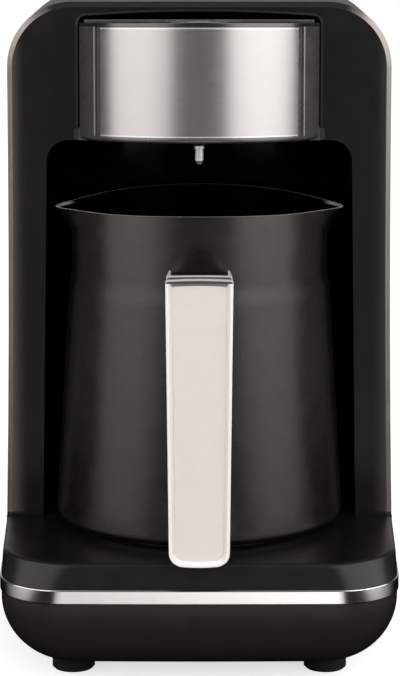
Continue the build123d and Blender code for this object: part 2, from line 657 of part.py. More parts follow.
# ---------------------------------------------------------------- head shell
TRIM_ROUND = 1.4          # rounded lower edge of the head
CHEEK_EDGE = 0.7          # rounded edge of the cheeks beside the panel's groove
EAR_HALF = 46.2           # the shell's ears lie before the column's front
EAR_DEPTH = 1.2
EAR_HEIGHT = 4.5
LEDGE_WIDTH = 5.0         # ledges that hold the head's floor
LEDGE_LENGTH = 12.0
LEDGE_HEIGHT = 4.0
LEDGE_X = HEAD_RADIUS - HEAD_WALL - LEDGE_WIDTH / 2 + SNUG
LEDGE_Y = 4.0
UNDERSIDE_BOTTOM = TAIL_BOTTOM + 0.8
UNDERSIDE_SHEET = 1.8
UNDERSIDE_TOP = UNDERSIDE_BOTTOM + UNDERSIDE_SHEET
PANEL_SEAT = HEAD_RADIUS - SNUG - PANEL_SHEET - SNUG


def panel_recess():
    """Ring-shaped space in the front of the head that takes the steel panel."""
    with BuildPart() as recess:
        extrude(sector(NICHE_TOP, HEAD_RADIUS + 1, PANEL_ANGLE + PANEL_GROOVE), amount=HEIGHT - NICHE_TOP)
        with BuildSketch(Plane.XY.offset(NICHE_TOP)):
            Circle(PANEL_SEAT)
        extrude(amount=HEIGHT - NICHE_TOP, mode=Mode.SUBTRACT)
        add(beyond_level(PANEL_BOTTOM, -1), mode=Mode.SUBTRACT)
    return recess.part


def on_cheek(edge):
    """Upright edge at the head's outer radius, before the column."""
    middle = edge.center()
    return hypot(middle.X, middle.Y) > HEAD_RADIUS - SNUG and middle.Y < -TRIM_ROUND


with BuildPart() as head_shell:
    extrude(head_plan(NICHE_TOP - HEAD_TAIL), amount=HEIGHT - NICHE_TOP + HEAD_TAIL)
    add(beyond_level(HEAD_BOTTOM, -1), mode=Mode.SUBTRACT)
    fillet(head_shell.faces().sort_by(Axis.Z)[0].edges().sort_by(Axis.Y)[0], TRIM_ROUND)
    # ears before the column's front
    with BuildSketch(Plane.XZ.offset(SNUG)):
        with Locations((0, HEAD_BOTTOM - 2 * FIT + EAR_HEIGHT / 2)):
            RectangleRounded(2 * EAR_HALF, EAR_HEIGHT, EAR_DEPTH)
    extrude(amount=EAR_DEPTH)
    # the tail behind the column's front clears the niche
    with BuildSketch(Plane.XY.offset(NICHE_TOP - HEAD_TAIL)):
        with Locations((0, HEAD_TAIL)):
            Rectangle(3 * HEAD_RADIUS, 2 * HEAD_TAIL)
    extrude(amount=TAIL_BOTTOM - NICHE_TOP + HEAD_TAIL, mode=Mode.SUBTRACT)
    extrude(head_plan(NICHE_TOP - HEAD_TAIL, HEAD_WALL), amount=HEIGHT, mode=Mode.SUBTRACT)
    add(panel_recess(), mode=Mode.SUBTRACT)
    fillet(head_shell.edges().filter_by(Axis.Z).filter_by(on_cheek), CHEEK_EDGE)
    add(beyond_level(LID_BOTTOM, 1), mode=Mode.SUBTRACT)
    with BuildSketch(Plane.XY.offset(UNDERSIDE_TOP + SNUG)):
        with Locations((-LEDGE_X, LEDGE_Y), (LEDGE_X, LEDGE_Y)):
            Rectangle(LEDGE_WIDTH, LEDGE_LENGTH)
    extrude(amount=LEDGE_HEIGHT)
save(head_shell.part, "head_shell")

with BuildPart() as head_panel:
    extrude(sector(NICHE_TOP, HEAD_RADIUS - SNUG, PANEL_ANGLE), amount=HEIGHT - NICHE_TOP)
    with BuildSketch(Plane.XY.offset(NICHE_TOP)):
        Circle(HEAD_RADIUS - SNUG - PANEL_SHEET)
    extrude(amount=HEIGHT - NICHE_TOP, mode=Mode.SUBTRACT)
    add(beyond_level(PANEL_BOTTOM + SNUG, -1), mode=Mode.SUBTRACT)
    add(beyond_level(PANEL_TOP, 1), mode=Mode.SUBTRACT)
save(head_panel.part, "head_panel")

with BuildPart() as head_underside:
    extrude(head_plan(UNDERSIDE_BOTTOM, HEAD_WALL + SNUG), amount=UNDERSIDE_SHEET)
    with BuildSketch(Plane.XY.offset(UNDERSIDE_BOTTOM)):
        Circle(COLLAR_RADIUS + SNUG)
    extrude(amount=UNDERSIDE_SHEET, mode=Mode.SUBTRACT)
save(head_underside.part, "head_underside")

# ---------------------------------------------------------------- lid, its strip, the button and its ring
WELL_RADIUS = BUTTON_RADIUS + FIT
RING_RADIUS = WELL_RADIUS + RING_WIDTH
RING_RISE = 0.3           # ring above the lid
RING_EDGE = 0.25
LID_AT_BUTTON = HEAD_TOP - BUTTON_Y * sin(radians(HEAD_TILT))
WELL_DEPTH = 9.0
WELL_FLOOR = LID_AT_BUTTON - WELL_DEPTH
WELL_WALL = 1.1
GUIDE_FLANGE = 2.5
GUIDE_SHEET = 3.6
BUTTON_STEM = 2.0
BUTTON_RISE = 0.2         # button above the lid
BUTTON_EDGE = 0.6
BUTTON_SKIRT = 2.4
BOARD_SPACE = 8.0         # well's floor to the board below it
BOARD_TOP = WELL_FLOOR - BOARD_SPACE
LID_EDGE = 0.4
STRIP_HALF = 42.2
STRIP_DEPTH = 1.2
STRIP_RISE = 1.0
STRIP_Y = 0.2


def column_at_button(bottom, radius):
    """Round bar on the button's axis, from one height up past the lid."""
    with BuildPart() as bar:
        with BuildSketch(Plane.XY.offset(bottom)):
            with Locations((0, BUTTON_Y)):
                Circle(radius)
        extrude(amount=HEIGHT - bottom)
    return bar.part


with BuildPart() as head_top:
    extrude(head_plan(PANEL_TOP - HEAD_TAIL), amount=HEIGHT - PANEL_TOP + HEAD_TAIL)
    add(beyond_level(HEAD_TOP, 1), mode=Mode.SUBTRACT)
    fillet(head_top.faces().sort_by(Axis.Z)[-1].edges().sort_by(Axis.Y)[0], LID_EDGE)
    add(beyond_level(LID_BOTTOM + SNUG / 2, -1), mode=Mode.SUBTRACT)
    add(column_at_button(WELL_FLOOR, RING_RADIUS + SNUG / 2), mode=Mode.SUBTRACT)
save(head_top.part, "head_top")

with BuildPart() as head_strip:
    with BuildSketch(Plane.XY.offset(LID_BOTTOM)):
        with Locations((0, STRIP_Y + STRIP_DEPTH / 2)):
            Rectangle(2 * STRIP_HALF, STRIP_DEPTH)
    extrude(amount=HEAD_TOP + STRIP_RISE - LID_BOTTOM)
    chamfer(head_strip.faces().sort_by(Axis.Z)[-1].edges(), SNUG)
    add(beyond_level(HEAD_TOP + SNUG / 2, -1), mode=Mode.SUBTRACT)
save(head_strip.part, "head_strip")

with BuildPart() as button_guide:
    add(column_at_button(WELL_FLOOR, RING_RADIUS))
    add(column_at_button(LID_AT_BUTTON - GUIDE_SHEET, RING_RADIUS + GUIDE_FLANGE))
    add(beyond_level(LID_BOTTOM, 1), mode=Mode.SUBTRACT)
    add(column_at_button(WELL_FLOOR + WELL_WALL, WELL_RADIUS), mode=Mode.SUBTRACT)
    add(column_at_button(WELL_FLOOR - 1, BUTTON_STEM + SNUG), mode=Mode.SUBTRACT)
save(button_guide.part, "button_guide")

with BuildPart() as button_ring:
    add(column_at_button(WELL_FLOOR, RING_RADIUS))
    add(column_at_button(WELL_FLOOR, WELL_RADIUS), mode=Mode.SUBTRACT)
    add(beyond_level(HEAD_TOP + RING_RISE, 1), mode=Mode.SUBTRACT)
    chamfer(button_ring.faces().sort_by(Axis.Z)[-1].edges(), RING_EDGE)
    add(beyond_level(LID_BOTTOM + SNUG / 2, -1), mode=Mode.SUBTRACT)
save(button_ring.part, "button_ring")

SWITCH_HEIGHT = 3.8
SWITCH_GAP = 0.1
CAP_UNDERSIDE = LID_AT_BUTTON + BUTTON_RISE - BUTTON_SKIRT
STEM_END = BOARD_TOP + SWITCH_HEIGHT + SWITCH_GAP + BUTTON_TRAVEL

with BuildPart() as brew_button:
    add(column_at_button(CAP_UNDERSIDE, BUTTON_RADIUS))
    add(beyond_level(HEAD_TOP + BUTTON_RISE, 1), mode=Mode.SUBTRACT)
    fillet(brew_button.faces().sort_by(Axis.Z)[-1].edges(), BUTTON_EDGE)
    with BuildSketch(Plane.XY.offset(STEM_END)):
        with Locations((0, BUTTON_Y)):
            Circle(BUTTON_STEM)
    extrude(amount=CAP_UNDERSIDE - STEM_END)
save(brew_button.part, "brew_button")

SPRING_WIRE = 0.3
SPRING_RADIUS = 4.0
SPRING_TURNS = 3
spring_base = WELL_FLOOR + WELL_WALL + SPRING_WIRE
spring_height = CAP_UNDERSIDE - SPRING_WIRE - spring_base

with BuildPart() as button_spring:
    with BuildLine(Plane((0, BUTTON_Y, spring_base))) as coil:
        Helix(pitch=spring_height / SPRING_TURNS, height=spring_height, radius=SPRING_RADIUS)
    with BuildSketch(Plane(coil.line @ 0, z_dir=coil.line % 0)):
        RegularPolygon(SPRING_WIRE, 6)
    sweep(path=coil.line, is_frenet=True)
save(button_spring.part, "button_spring")

# ---------------------------------------------------------------- control board in the head
BOARD_SHEET = 1.6
BOARD_BOTTOM = BOARD_TOP - BOARD_SHEET
BOARD_FRONT = -34.0
BOARD_REAR = 10.0
BOARD_HALF = 27.0
BOARD_NOSE = 14.0         # half width of the board's front edge
BOARD_SHOULDER = -20.0
POST_RADIUS = 3.0
PEG_RISE = 1.2            # pegs stand this much above their board
board_spots = [(x, -8.0) for x in (-22.0, 22.0)]

with BuildPart() as board_pillars:
    with BuildSketch(Plane.XY.offset(UNDERSIDE_TOP)):
        with Locations(*board_spots):
            Circle(POST_RADIUS)
    extrude(amount=BOARD_BOTTOM - UNDERSIDE_TOP)
    with BuildSketch(Plane.XY.offset(BOARD_BOTTOM)):
        with Locations(*board_spots):
            Circle(SCREW_RADIUS - SNUG)
    extrude(amount=BOARD_SHEET + PEG_RISE)
save(board_pillars.part, "board_pillars")

with BuildPart() as control_board:
    with BuildSketch(Plane.XY.offset(BOARD_BOTTOM)):
        with BuildLine():
            Polyline((-BOARD_HALF, BOARD_REAR), (-BOARD_HALF, BOARD_SHOULDER), (-BOARD_NOSE, BOARD_FRONT),
                     (BOARD_NOSE, BOARD_FRONT), (BOARD_HALF, BOARD_SHOULDER), (BOARD_HALF, BOARD_REAR),
                     (-BOARD_HALF, BOARD_REAR))
        make_face()
        with Locations(*board_spots):
            Circle(SCREW_RADIUS, mode=Mode.SUBTRACT)
    extrude(amount=BOARD_SHEET)
save(control_board.part, "control_board")

SWITCH_SIDE = 6.0
SWITCH_CASE = 3.0         # height of its case, under the plunger
PLUNGER_RADIUS = 1.7
with BuildPart() as button_switch:
    with BuildSketch(Plane.XY.offset(BOARD_TOP)):
        with Locations((0, BUTTON_Y)):
            Rectangle(SWITCH_SIDE, SWITCH_SIDE)
    extrude(amount=SWITCH_CASE)
    with BuildSketch(Plane.XY.offset(BOARD_TOP)):
        with Locations((0, BUTTON_Y)):
            Circle(PLUNGER_RADIUS)
    extrude(amount=SWITCH_HEIGHT)
save(button_switch.part, "button_switch")

CHIP_HEIGHT = 1.8
with BuildPart() as control_chips:
    with BuildSketch(Plane.XY.offset(BOARD_TOP)):
        with Locations((14, -2)):
            Rectangle(9, 9)
        with Locations((-13, -4)):
            Rectangle(10, 4)
        with Locations((0, 5)):
            Rectangle(14, 5)
    extrude(amount=CHIP_HEIGHT)
save(control_chips.part, "control_chips")

# ---------------------------------------------------------------- foam sensor probe
FLANGE_RADIUS = 1.85
FLANGE_SHEET = 1.2
NECK_RADIUS = 1.3
NECK_HEIGHT = 0.6
TIP_RADIUS = 1.3
TIP_END = 1.05
TIP_HEIGHT = 1.3
COLLAR_EDGE = 1.0
COLLAR_FLANGE = 2.0       # width of the flange that rests on the head's floor
COLLAR_SHEET = 1.4
PROBE_STOP = BOARD_BOTTOM - 7.0


def turned(points):
    """Round piece on the pot axis from the right half of its section."""
    with BuildPart() as piece:
        with BuildSketch(Plane.XZ):
            with BuildLine():
                Polyline(*points, points[0])
            make_face()
        revolve(axis=Axis.Z)
    return piece.part


with BuildPart() as probe_collar:
    with BuildSketch(Plane.XY.offset(COLLAR_BOTTOM)):
        Circle(COLLAR_RADIUS)
    extrude(amount=UNDERSIDE_TOP + COLLAR_SHEET - COLLAR_BOTTOM)
    fillet(probe_collar.faces().sort_by(Axis.Z)[0].edges(), COLLAR_EDGE)
    with BuildSketch(Plane.XY.offset(UNDERSIDE_TOP + SNUG)):
        Circle(COLLAR_RADIUS + COLLAR_FLANGE)
    extrude(amount=COLLAR_SHEET)
    with BuildSketch(Plane.XY.offset(COLLAR_BOTTOM)):
        Circle(PROBE_RADIUS)
    extrude(amount=HEAD_TOP, mode=Mode.SUBTRACT)
save(probe_collar.part, "probe_collar")

barrel_bottom = PROBE_TIP + TIP_HEIGHT
flange_bottom = COLLAR_BOTTOM - FLANGE_SHEET
barrel_top = flange_bottom - NECK_HEIGHT
with BuildPart() as probe_tube:
    add(turned([(0, barrel_bottom), (PROBE_RADIUS, barrel_bottom), (PROBE_RADIUS, barrel_top),
                (NECK_RADIUS, barrel_top), (NECK_RADIUS, flange_bottom), (FLANGE_RADIUS, flange_bottom),
                (FLANGE_RADIUS, COLLAR_BOTTOM), (PROBE_RADIUS, COLLAR_BOTTOM), (PROBE_RADIUS, PROBE_STOP),
                (0, PROBE_STOP)]))
save(probe_tube.part, "probe_tube")

with BuildPart() as probe_tip:
    add(turned([(0, PROBE_TIP), (TIP_END, PROBE_TIP), (TIP_RADIUS, barrel_bottom), (0, barrel_bottom)]))
save(probe_tip.part, "probe_tip")

# ---------------------------------------------------------------- hot plate and what heats it
SEAL_LIP = 0.5
ELEMENT_ARC = 300
ELEMENT_Z = PLATE_BOTTOM - ELEMENT_TUBE - SNUG / 2
PLATE_EDGE = 0.6
THERMOSTAT_RADIUS = 8.5
THERMOSTAT_HEIGHT = 5.5
THERMOSTAT_LUG = 26.0
LUG_WIDTH = 7.0
LUG_SHEET = 0.8
FUSE_RADIUS = 2.1
FUSE_LENGTH = 14.0
FUSE_Y = -16.0
CARRIER_SHEET = 1.2
CARRIER_WIDTH = 16.0

with BuildPart() as hot_plate:
    with BuildSketch(Plane.XY.offset(PLATE_BOTTOM)):
        Circle(PLATE_RADIUS)
    extrude(amount=PLATE_SHEET)
    fillet(hot_plate.faces().sort_by(Axis.Z)[-1].edges(), PLATE_EDGE)
save(hot_plate.part, "hot_plate")

with BuildPart() as plate_seal:
    with BuildSketch(Plane.XY.offset(DECK - WALL + SNUG)):
        Circle(PLATE_RADIUS + SEAL_WIDTH - SNUG / 2)
        Circle(PLATE_RADIUS + SNUG / 2, mode=Mode.SUBTRACT)
    extrude(amount=WALL - SNUG)
    with BuildSketch(Plane.XY.offset(DECK)):
        Circle(PLATE_RADIUS + SEAL_WIDTH + 1)
        Circle(PLATE_RADIUS + SNUG / 2, mode=Mode.SUBTRACT)
    extrude(amount=SEAL_LIP)
save(plate_seal.part, "plate_seal")

with BuildPart() as heating_element:
    with BuildSketch(Plane.XZ):
        with Locations((ELEMENT_RADIUS, ELEMENT_Z)):
            Circle(ELEMENT_TUBE)
    revolve(axis=Axis.Z, revolution_arc=ELEMENT_ARC)
save(heating_element.part, "heating_element")

with BuildPart() as thermostat:
    with BuildSketch(Plane.XY.offset(PLATE_BOTTOM - SNUG / 2)):
        Circle(THERMOSTAT_RADIUS)
    extrude(amount=-THERMOSTAT_HEIGHT)
    with BuildSketch(Plane.XY.offset(PLATE_BOTTOM - SNUG / 2)):
        Rectangle(THERMOSTAT_LUG, LUG_WIDTH)
    extrude(amount=-LUG_SHEET)
save(thermostat.part, "thermostat")

with BuildPart() as thermal_fuse:
    with BuildSketch(Plane.YZ.offset(-FUSE_LENGTH / 2)):
        with Locations((FUSE_Y, PLATE_BOTTOM - FUSE_RADIUS - SNUG)):
            Circle(FUSE_RADIUS)
    extrude(amount=FUSE_LENGTH)
save(thermal_fuse.part, "thermal_fuse")

with BuildPart() as plate_carrier:
    with BuildSketch(Plane.XY.offset(CARRIER_TOP)):
        with Locations((0, CARRIER_Y)):
            SlotOverall(2 * BASE_SCREW_X + CARRIER_WIDTH, CARRIER_WIDTH)
            with Locations(*[(x, 0) for x, y in carrier_spots]):
                Circle(SCREW_RADIUS + SNUG, mode=Mode.SUBTRACT)
    extrude(amount=-CARRIER_SHEET)
save(plate_carrier.part, "plate_carrier")

with BuildPart() as carrier_screws:
    with BuildSketch(Plane.XY.offset(CARRIER_TOP - CARRIER_SHEET)):
        with Locations(*carrier_spots):
            Circle(SCREW_RADIUS)
    extrude(amount=CARRIER_SHEET + CARRIER_SCREW_REACH)
    with BuildSketch(Plane.XY.offset(CARRIER_TOP - CARRIER_SHEET)):
        with Locations(*carrier_spots):
            Circle(SCREW_HEAD)
    extrude(amount=-HEAD_SHEET)
save(carrier_screws.part, "carrier_screws")

# ---------------------------------------------------------------- power board in the base
STANDOFF = 4.0
POWER_BOTTOM = FLOOR_TOP + STANDOFF
POWER_TOP = POWER_BOTTOM + BOARD_SHEET
POWER_Y = 30.0
POWER_LENGTH = 44.0
POWER_WIDTH = 72.0
standoff_spots = [(x, POWER_Y + y) for x in (-31.0, 31.0) for y in (-17.0, 17.0)]

with BuildPart() as board_standoffs:
    with BuildSketch(Plane.XY.offset(FLOOR_TOP)):
        with Locations(*standoff_spots):
            Circle(POST_RADIUS)
    extrude(amount=STANDOFF)
    with BuildSketch(Plane.XY.offset(POWER_BOTTOM)):
        with Locations(*standoff_spots):
            Circle(SCREW_RADIUS - SNUG)
    extrude(amount=BOARD_SHEET + PEG_RISE)
save(board_standoffs.part, "board_standoffs")

with BuildPart() as power_board:
    with BuildSketch(Plane.XY.offset(POWER_BOTTOM)):
        with Locations((0, POWER_Y)):
            Rectangle(POWER_WIDTH, POWER_LENGTH)
        with Locations(*standoff_spots):
            Circle(SCREW_RADIUS, mode=Mode.SUBTRACT)
    extrude(amount=BOARD_SHEET)
save(power_board.part, "power_board")

RELAY_LENGTH = 19.0
RELAY_WIDTH = 15.0
RELAY_HEIGHT = 15.0
RELAY_EDGE = 0.8
with BuildPart() as relay:
    with BuildSketch(Plane.XY.offset(POWER_TOP)):
        with Locations((-16, POWER_Y - 6)):
            Rectangle(RELAY_LENGTH, RELAY_WIDTH)
    extrude(amount=RELAY_HEIGHT)
    fillet(relay.edges().filter_by(Axis.Z), RELAY_EDGE)
save(relay.part, "relay")

BUZZER_RADIUS = 6.0
BUZZER_HEIGHT = 8.0
BUZZER_HOLE = 1.0
BUZZER_HOLE_DEPTH = 3.0
with BuildPart() as buzzer:
    with BuildSketch(Plane.XY.offset(POWER_TOP)):
        with Locations((14, POWER_Y + 8)):
            Circle(BUZZER_RADIUS)
    extrude(amount=BUZZER_HEIGHT)
    with BuildSketch(Plane.XY.offset(POWER_TOP + BUZZER_HEIGHT)):
        with Locations((14, POWER_Y + 8)):
            Circle(BUZZER_HOLE)
    extrude(amount=-BUZZER_HOLE_DEPTH, mode=Mode.SUBTRACT)
save(buzzer.part, "buzzer")

PARTS_HEIGHT = 11.0
with BuildPart() as power_parts:
    with BuildSketch(Plane.XY.offset(POWER_TOP)):
        with Locations((8, POWER_Y - 10)):
            Rectangle(18, 8)
        with Locations((-16, POWER_Y + 12)):
            Circle(5)
        with Locations((24, POWER_Y - 10)):
            Circle(4)
    extrude(amount=PARTS_HEIGHT)
save(power_parts.part, "power_parts")

TERMINAL_HEIGHT = 10.0
TERMINAL_PITCH = 4.4
TERMINAL_HOLE = 1.6
TERMINAL_HOLE_DEPTH = 6.0
with BuildPart() as terminal_block:
    with BuildSketch(Plane.XY.offset(POWER_TOP)):
        with Locations((-1, POWER_Y + 16)):
            Rectangle(14, 9)
    extrude(amount=TERMINAL_HEIGHT)
    with BuildSketch(Plane.XY.offset(POWER_TOP + TERMINAL_HEIGHT)):
        with Locations((-1, POWER_Y + 16)):
            with GridLocations(TERMINAL_PITCH, 1, 3, 1):
                Circle(TERMINAL_HOLE)
    extrude(amount=-TERMINAL_HOLE_DEPTH, mode=Mode.SUBTRACT)
save(terminal_block.part, "terminal_block")

LOOM_RADIUS = 2.0
LOOM_X = 25.0
LOOM_Y = REAR - 10.5
LOOM_BEND = 6.0
LOOM_END_Y = 2.0
loom_start = (LOOM_X, POWER_Y + 12, POWER_TOP + LOOM_RADIUS)
loom_low = loom_start[2] + LOOM_BEND + 0.4
loom_high = BOARD_TOP + LOOM_BEND + 2
with BuildPart() as wire_loom:
    with BuildLine() as loom_path:
        FilletPolyline(loom_start, (LOOM_X, loom_start[1], loom_low), (LOOM_X, LOOM_Y, loom_low),
                       (LOOM_X, LOOM_Y, loom_high), (LOOM_X, LOOM_END_Y, loom_high),
                       (LOOM_X, LOOM_END_Y, BOARD_TOP), radius=LOOM_BEND)
    with BuildSketch(Plane(loom_path.line @ 0, z_dir=loom_path.line % 0)):
        Circle(LOOM_RADIUS)
    sweep()
save(wire_loom.part, "wire_loom")

# ---------------------------------------------------------------- pot
BASE_DISC_RADIUS = POT_FOOT_RADIUS - POT_EDGE - 2.7
BASE_DISC_SHEET = 0.9
BASE_DISC_EDGE = 0.4
VESSEL_BOTTOM = POT_BASE + BASE_DISC_SHEET
LIP_TIP = POT_NECK_RADIUS + LIP_REACH
LIP_START_REACH = 0.05    # keeps the lips' lowest plan an open hull
LIP_STEPS = 4
LIP_CURVE = 1.6
TAPER_TOP = POT_RIM - SHOULDER_DROP
NECK_BOTTOM = POT_RIM - NECK_DROP
LIP_START = POT_RIM - LIP_DROP


def pot_profile(inset):
    """Right half of the pot's section, from its axis out to the foot of the lips."""
    foot = POT_FOOT_RADIUS - inset
    bottom = VESSEL_BOTTOM + inset
    edge = POT_EDGE - inset
    with BuildSketch(Plane.XZ) as section:
        with BuildLine():
            Line((0, bottom), (foot - edge, bottom))
            RadiusArc((foot - edge, bottom), (foot, bottom + edge), -edge)
            Line((foot, bottom + edge), (SHOULDER_RADIUS - inset, TAPER_TOP))
            Spline((SHOULDER_RADIUS - inset, TAPER_TOP), (POT_NECK_RADIUS - inset, NECK_BOTTOM),
                   tangents=((SHOULDER_RADIUS - POT_FOOT_RADIUS, TAPER_TOP - bottom - edge), (0, 1)))
            Line((POT_NECK_RADIUS - inset, NECK_BOTTOM), (POT_NECK_RADIUS - inset, LIP_START))
            Line((POT_NECK_RADIUS - inset, LIP_START), (0, LIP_START))
            Line((0, LIP_START), (0, bottom))
        make_face()
    return section.sketch


def lip_section(step, inset):
    """Plan of the rim at one step up the lips: the neck's circle drawn out to both sides."""
    share = step / (LIP_STEPS - 1)
    reach = LIP_REACH * share ** LIP_CURVE + LIP_START_REACH
    nose = LIP_NOSE - inset
    centre = POT_NECK_RADIUS + reach - LIP_NOSE
    with BuildSketch(Plane.XY.offset(LIP_START + LIP_DROP * share)) as outline:
        Circle(POT_NECK_RADIUS - inset)
        with Locations((centre, 0), (-centre, 0)):
            Circle(nose)
        make_hull()
    return outline.sketch


def rim_cut():
    """Space above the rim, whose edge sinks towards both lips."""
    reach = 2 * LIP_TIP
    drop = LIP_DIP * (reach / LIP_TIP) ** 2
    with BuildPart() as space:
        with BuildSketch(Plane.XZ):
            with BuildLine():
                ThreePointArc((-reach, POT_RIM - drop), (0, POT_RIM), (reach, POT_RIM - drop))
                Polyline((reach, POT_RIM - drop), (reach, HEIGHT), (-reach, HEIGHT), (-reach, POT_RIM - drop))
            make_face()
        extrude(amount=reach, both=True)
    return space.part


with BuildPart() as pot_vessel:
    revolve(pot_profile(0), axis=Axis.Z)
    loft([lip_section(step, 0) for step in range(LIP_STEPS)])
    revolve(pot_profile(POT_WALL), axis=Axis.Z, mode=Mode.SUBTRACT)
    loft([lip_section(step, POT_WALL) for step in range(LIP_STEPS)], mode=Mode.SUBTRACT)
    add(rim_cut(), mode=Mode.SUBTRACT)
save(pot_vessel.part, "pot_vessel")

with BuildPart() as pot_base_disc:
    with BuildSketch(Plane.XY.offset(POT_BASE)):
        Circle(BASE_DISC_RADIUS)
    extrude(amount=VESSEL_BOTTOM - POT_BASE)
    chamfer(pot_base_disc.faces().sort_by(Axis.Z)[0].edges(), BASE_DISC_EDGE)
save(pot_base_disc.part, "pot_base_disc")

# ---------------------------------------------------------------- handle
ARM_REAR = -40.0          # arm and ears are drawn to here and cut to the pot's curve
ARM_SLOPE = 0.035
ARM_DEPTH = 8.5
ARM_SINK = 2.6            # handle's top to the arm's top
ARM_HALF = 9.8
ARM_SWEEP = 6.0           # slanted corner under the arm
GRIP_INSET = 0.5
EAR_SLOPE = 0.093
EAR_FRONT_HALF = 11.3
EAR_REAR_HALF = 10.6
EAR_FRONT_SHEET = 1.4
EAR_REAR_SHEET = 0.5
EAR_DROP = 4.0
HANDLE_CROWN = 0.8        # bow of the handle's lower end
TOP_CROWN = 0.35          # and of its upper end
HANDLE_TOP_CORNER = 1.0
FRONT_EDGE = 0.3
RIDGE_SETBACK = 2.6       # ridge behind the handle's face
RIDGE_RISE = 0.8
RIDGE_SIDE = 0.3
RIDGE_DEPTH = 6.0
PEG_LENGTH = 3.0
PEG_DROP = 25.0           # pegs lie this far from the handle's ends
BRACKET_SHEET = 1.2
BRACKET_HALF = 9.5
BRACKET_HEIGHT = 8.4
BRACKET_CORNER = 1.5
BRACKET_TONGUE = 6.0      # half width of the tongue inside the arm
TONGUE_FRONT = -70.0
SCREW_Y = -64.0
SCREW_REACH = 5.0
SCREW_HEAD_SHEET = 1.6
SHELL_REAR = SHELL_DEPTH - HANDLE_FACE
GRIP_REAR = SHELL_REAR + GRIP_DEPTH
BRACKET_TOP = HANDLE_TOP - ARM_SINK - ARM_DEPTH / 2 + BRACKET_SHEET / 2
SCREW_SEAT = BRACKET_TOP - BRACKET_SHEET - EAR_FRONT_SHEET - SNUG


def arm_top(y):
    """Top of the handle's arm at one depth."""
    return HANDLE_TOP - ARM_SINK - ARM_SLOPE * (y - SHELL_REAR)


def handle_outline(y, inset=0.0):
    """Front view of the handle."""
    low = HANDLE_BOTTOM + inset
    top = HANDLE_TOP - inset
    low_half = HANDLE_HALF_BOTTOM - inset
    top_half = HANDLE_HALF_TOP - inset
    with BuildSketch(Plane.XZ.offset(-y)) as outline:
        with BuildLine():
            Line((low_half, low + HANDLE_CROWN), (top_half, top - TOP_CROWN))
            ThreePointArc((top_half, top - TOP_CROWN), (0, top), (-top_half, top - TOP_CROWN))
            Line((-top_half, top - TOP_CROWN), (-low_half, low + HANDLE_CROWN))
            ThreePointArc((-low_half, low + HANDLE_CROWN), (0, low), (low_half, low + HANDLE_CROWN))
        make_face()
        fillet(outline.vertices().group_by(Axis.Y)[0], HANDLE_CORNER - inset)
        fillet(outline.vertices().group_by(Axis.Y)[-1], HANDLE_TOP_CORNER)
    return outline.sketch


def side_profile(points, half):
    """Plate across the machine whose outline is given in depth and height."""
    with BuildPart() as plate:
        with BuildSketch(Plane.YZ):
            with BuildLine():
                Polyline(*points, points[0])
            make_face()
        extrude(amount=half, both=True)
    return plate.part


def pot_solid(offset):
    """The pot's round body grown outwards."""
    with BuildPart() as body:
        revolve(pot_profile(-offset), axis=Axis.Z)
    return body.part


def handle_ears(grow=0.0):
    """Thin plates that run from the handle's top back to both sides of the pot's neck."""
    front_y = SHELL_REAR - EAR_FRONT_SHEET / 2
    front_top = HANDLE_TOP + RIDGE_RISE / 2
    rear_top = front_top - EAR_SLOPE * (ARM_REAR - front_y)
    with BuildPart() as pair:
        with BuildSketch(Plane.XY.offset(HANDLE_TOP - 2 * ARM_DEPTH)):
            with BuildLine():
                Polyline((EAR_FRONT_HALF + grow, front_y), (EAR_REAR_HALF + grow, ARM_REAR),
                         (EAR_REAR_HALF - EAR_REAR_SHEET - grow, ARM_REAR),
                         (EAR_FRONT_HALF - EAR_FRONT_SHEET - grow, front_y), (EAR_FRONT_HALF + grow, front_y))
            make_face()
            mirror(about=Plane.YZ)
        extrude(amount=3 * ARM_DEPTH)
        add(side_profile([(front_y, front_top + grow), (ARM_REAR, rear_top + grow),
                          (ARM_REAR, rear_top - EAR_DROP - grow), (front_y, front_top - EAR_DROP - grow)],
                         2 * HANDLE_HALF_TOP), mode=Mode.INTERSECT)
    return pair.part


def handle_ridge():
    """Ridge that stands up behind the handle's face."""
    half = HANDLE_HALF_TOP - RIDGE_SIDE
    top = HANDLE_TOP + RIDGE_RISE
    with BuildPart() as ridge:
        with BuildSketch(Plane.XZ.offset(HANDLE_FACE - RIDGE_SETBACK)) as outline:
            with BuildLine():
                Polyline((half, top), (half, top - RIDGE_DEPTH), (-half, top - RIDGE_DEPTH), (-half, top))
                ThreePointArc((-half, top), (0, top + RIDGE_SIDE / 2), (half, top))
            make_face()
            fillet(outline.vertices().group_by(Axis.Y)[-1], HANDLE_TOP_CORNER)
        extrude(amount=RIDGE_SETBACK - SHELL_DEPTH)
        front = ridge.faces().sort_by(Axis.Y)[0].edges()
        chamfer(front.filter_by(lambda edge: edge.center().Z > HANDLE_TOP), FRONT_EDGE)
    return ridge.part


def on_screw(bottom, top, radius):
    """Round bar on the axis of the handle's screw."""
    with BuildPart() as bar:
        with BuildSketch(Plane.XY.offset(bottom)):
            with Locations((0, SCREW_Y)):
                Circle(radius)
        extrude(amount=top - bottom)
    return bar.part


def bracket_tongue(grow=0.0):
    """Tongue of the bracket, from inside the pot's wall into the arm."""
    with BuildPart() as tongue:
        with BuildSketch(Plane.XY.offset(BRACKET_TOP - BRACKET_SHEET - grow)):
            with Locations((0, (TONGUE_FRONT - grow + ARM_REAR) / 2)):
                Rectangle(2 * (BRACKET_TONGUE + grow), ARM_REAR - TONGUE_FRONT + grow)
        extrude(amount=BRACKET_SHEET + 2 * grow)
    return tongue.part


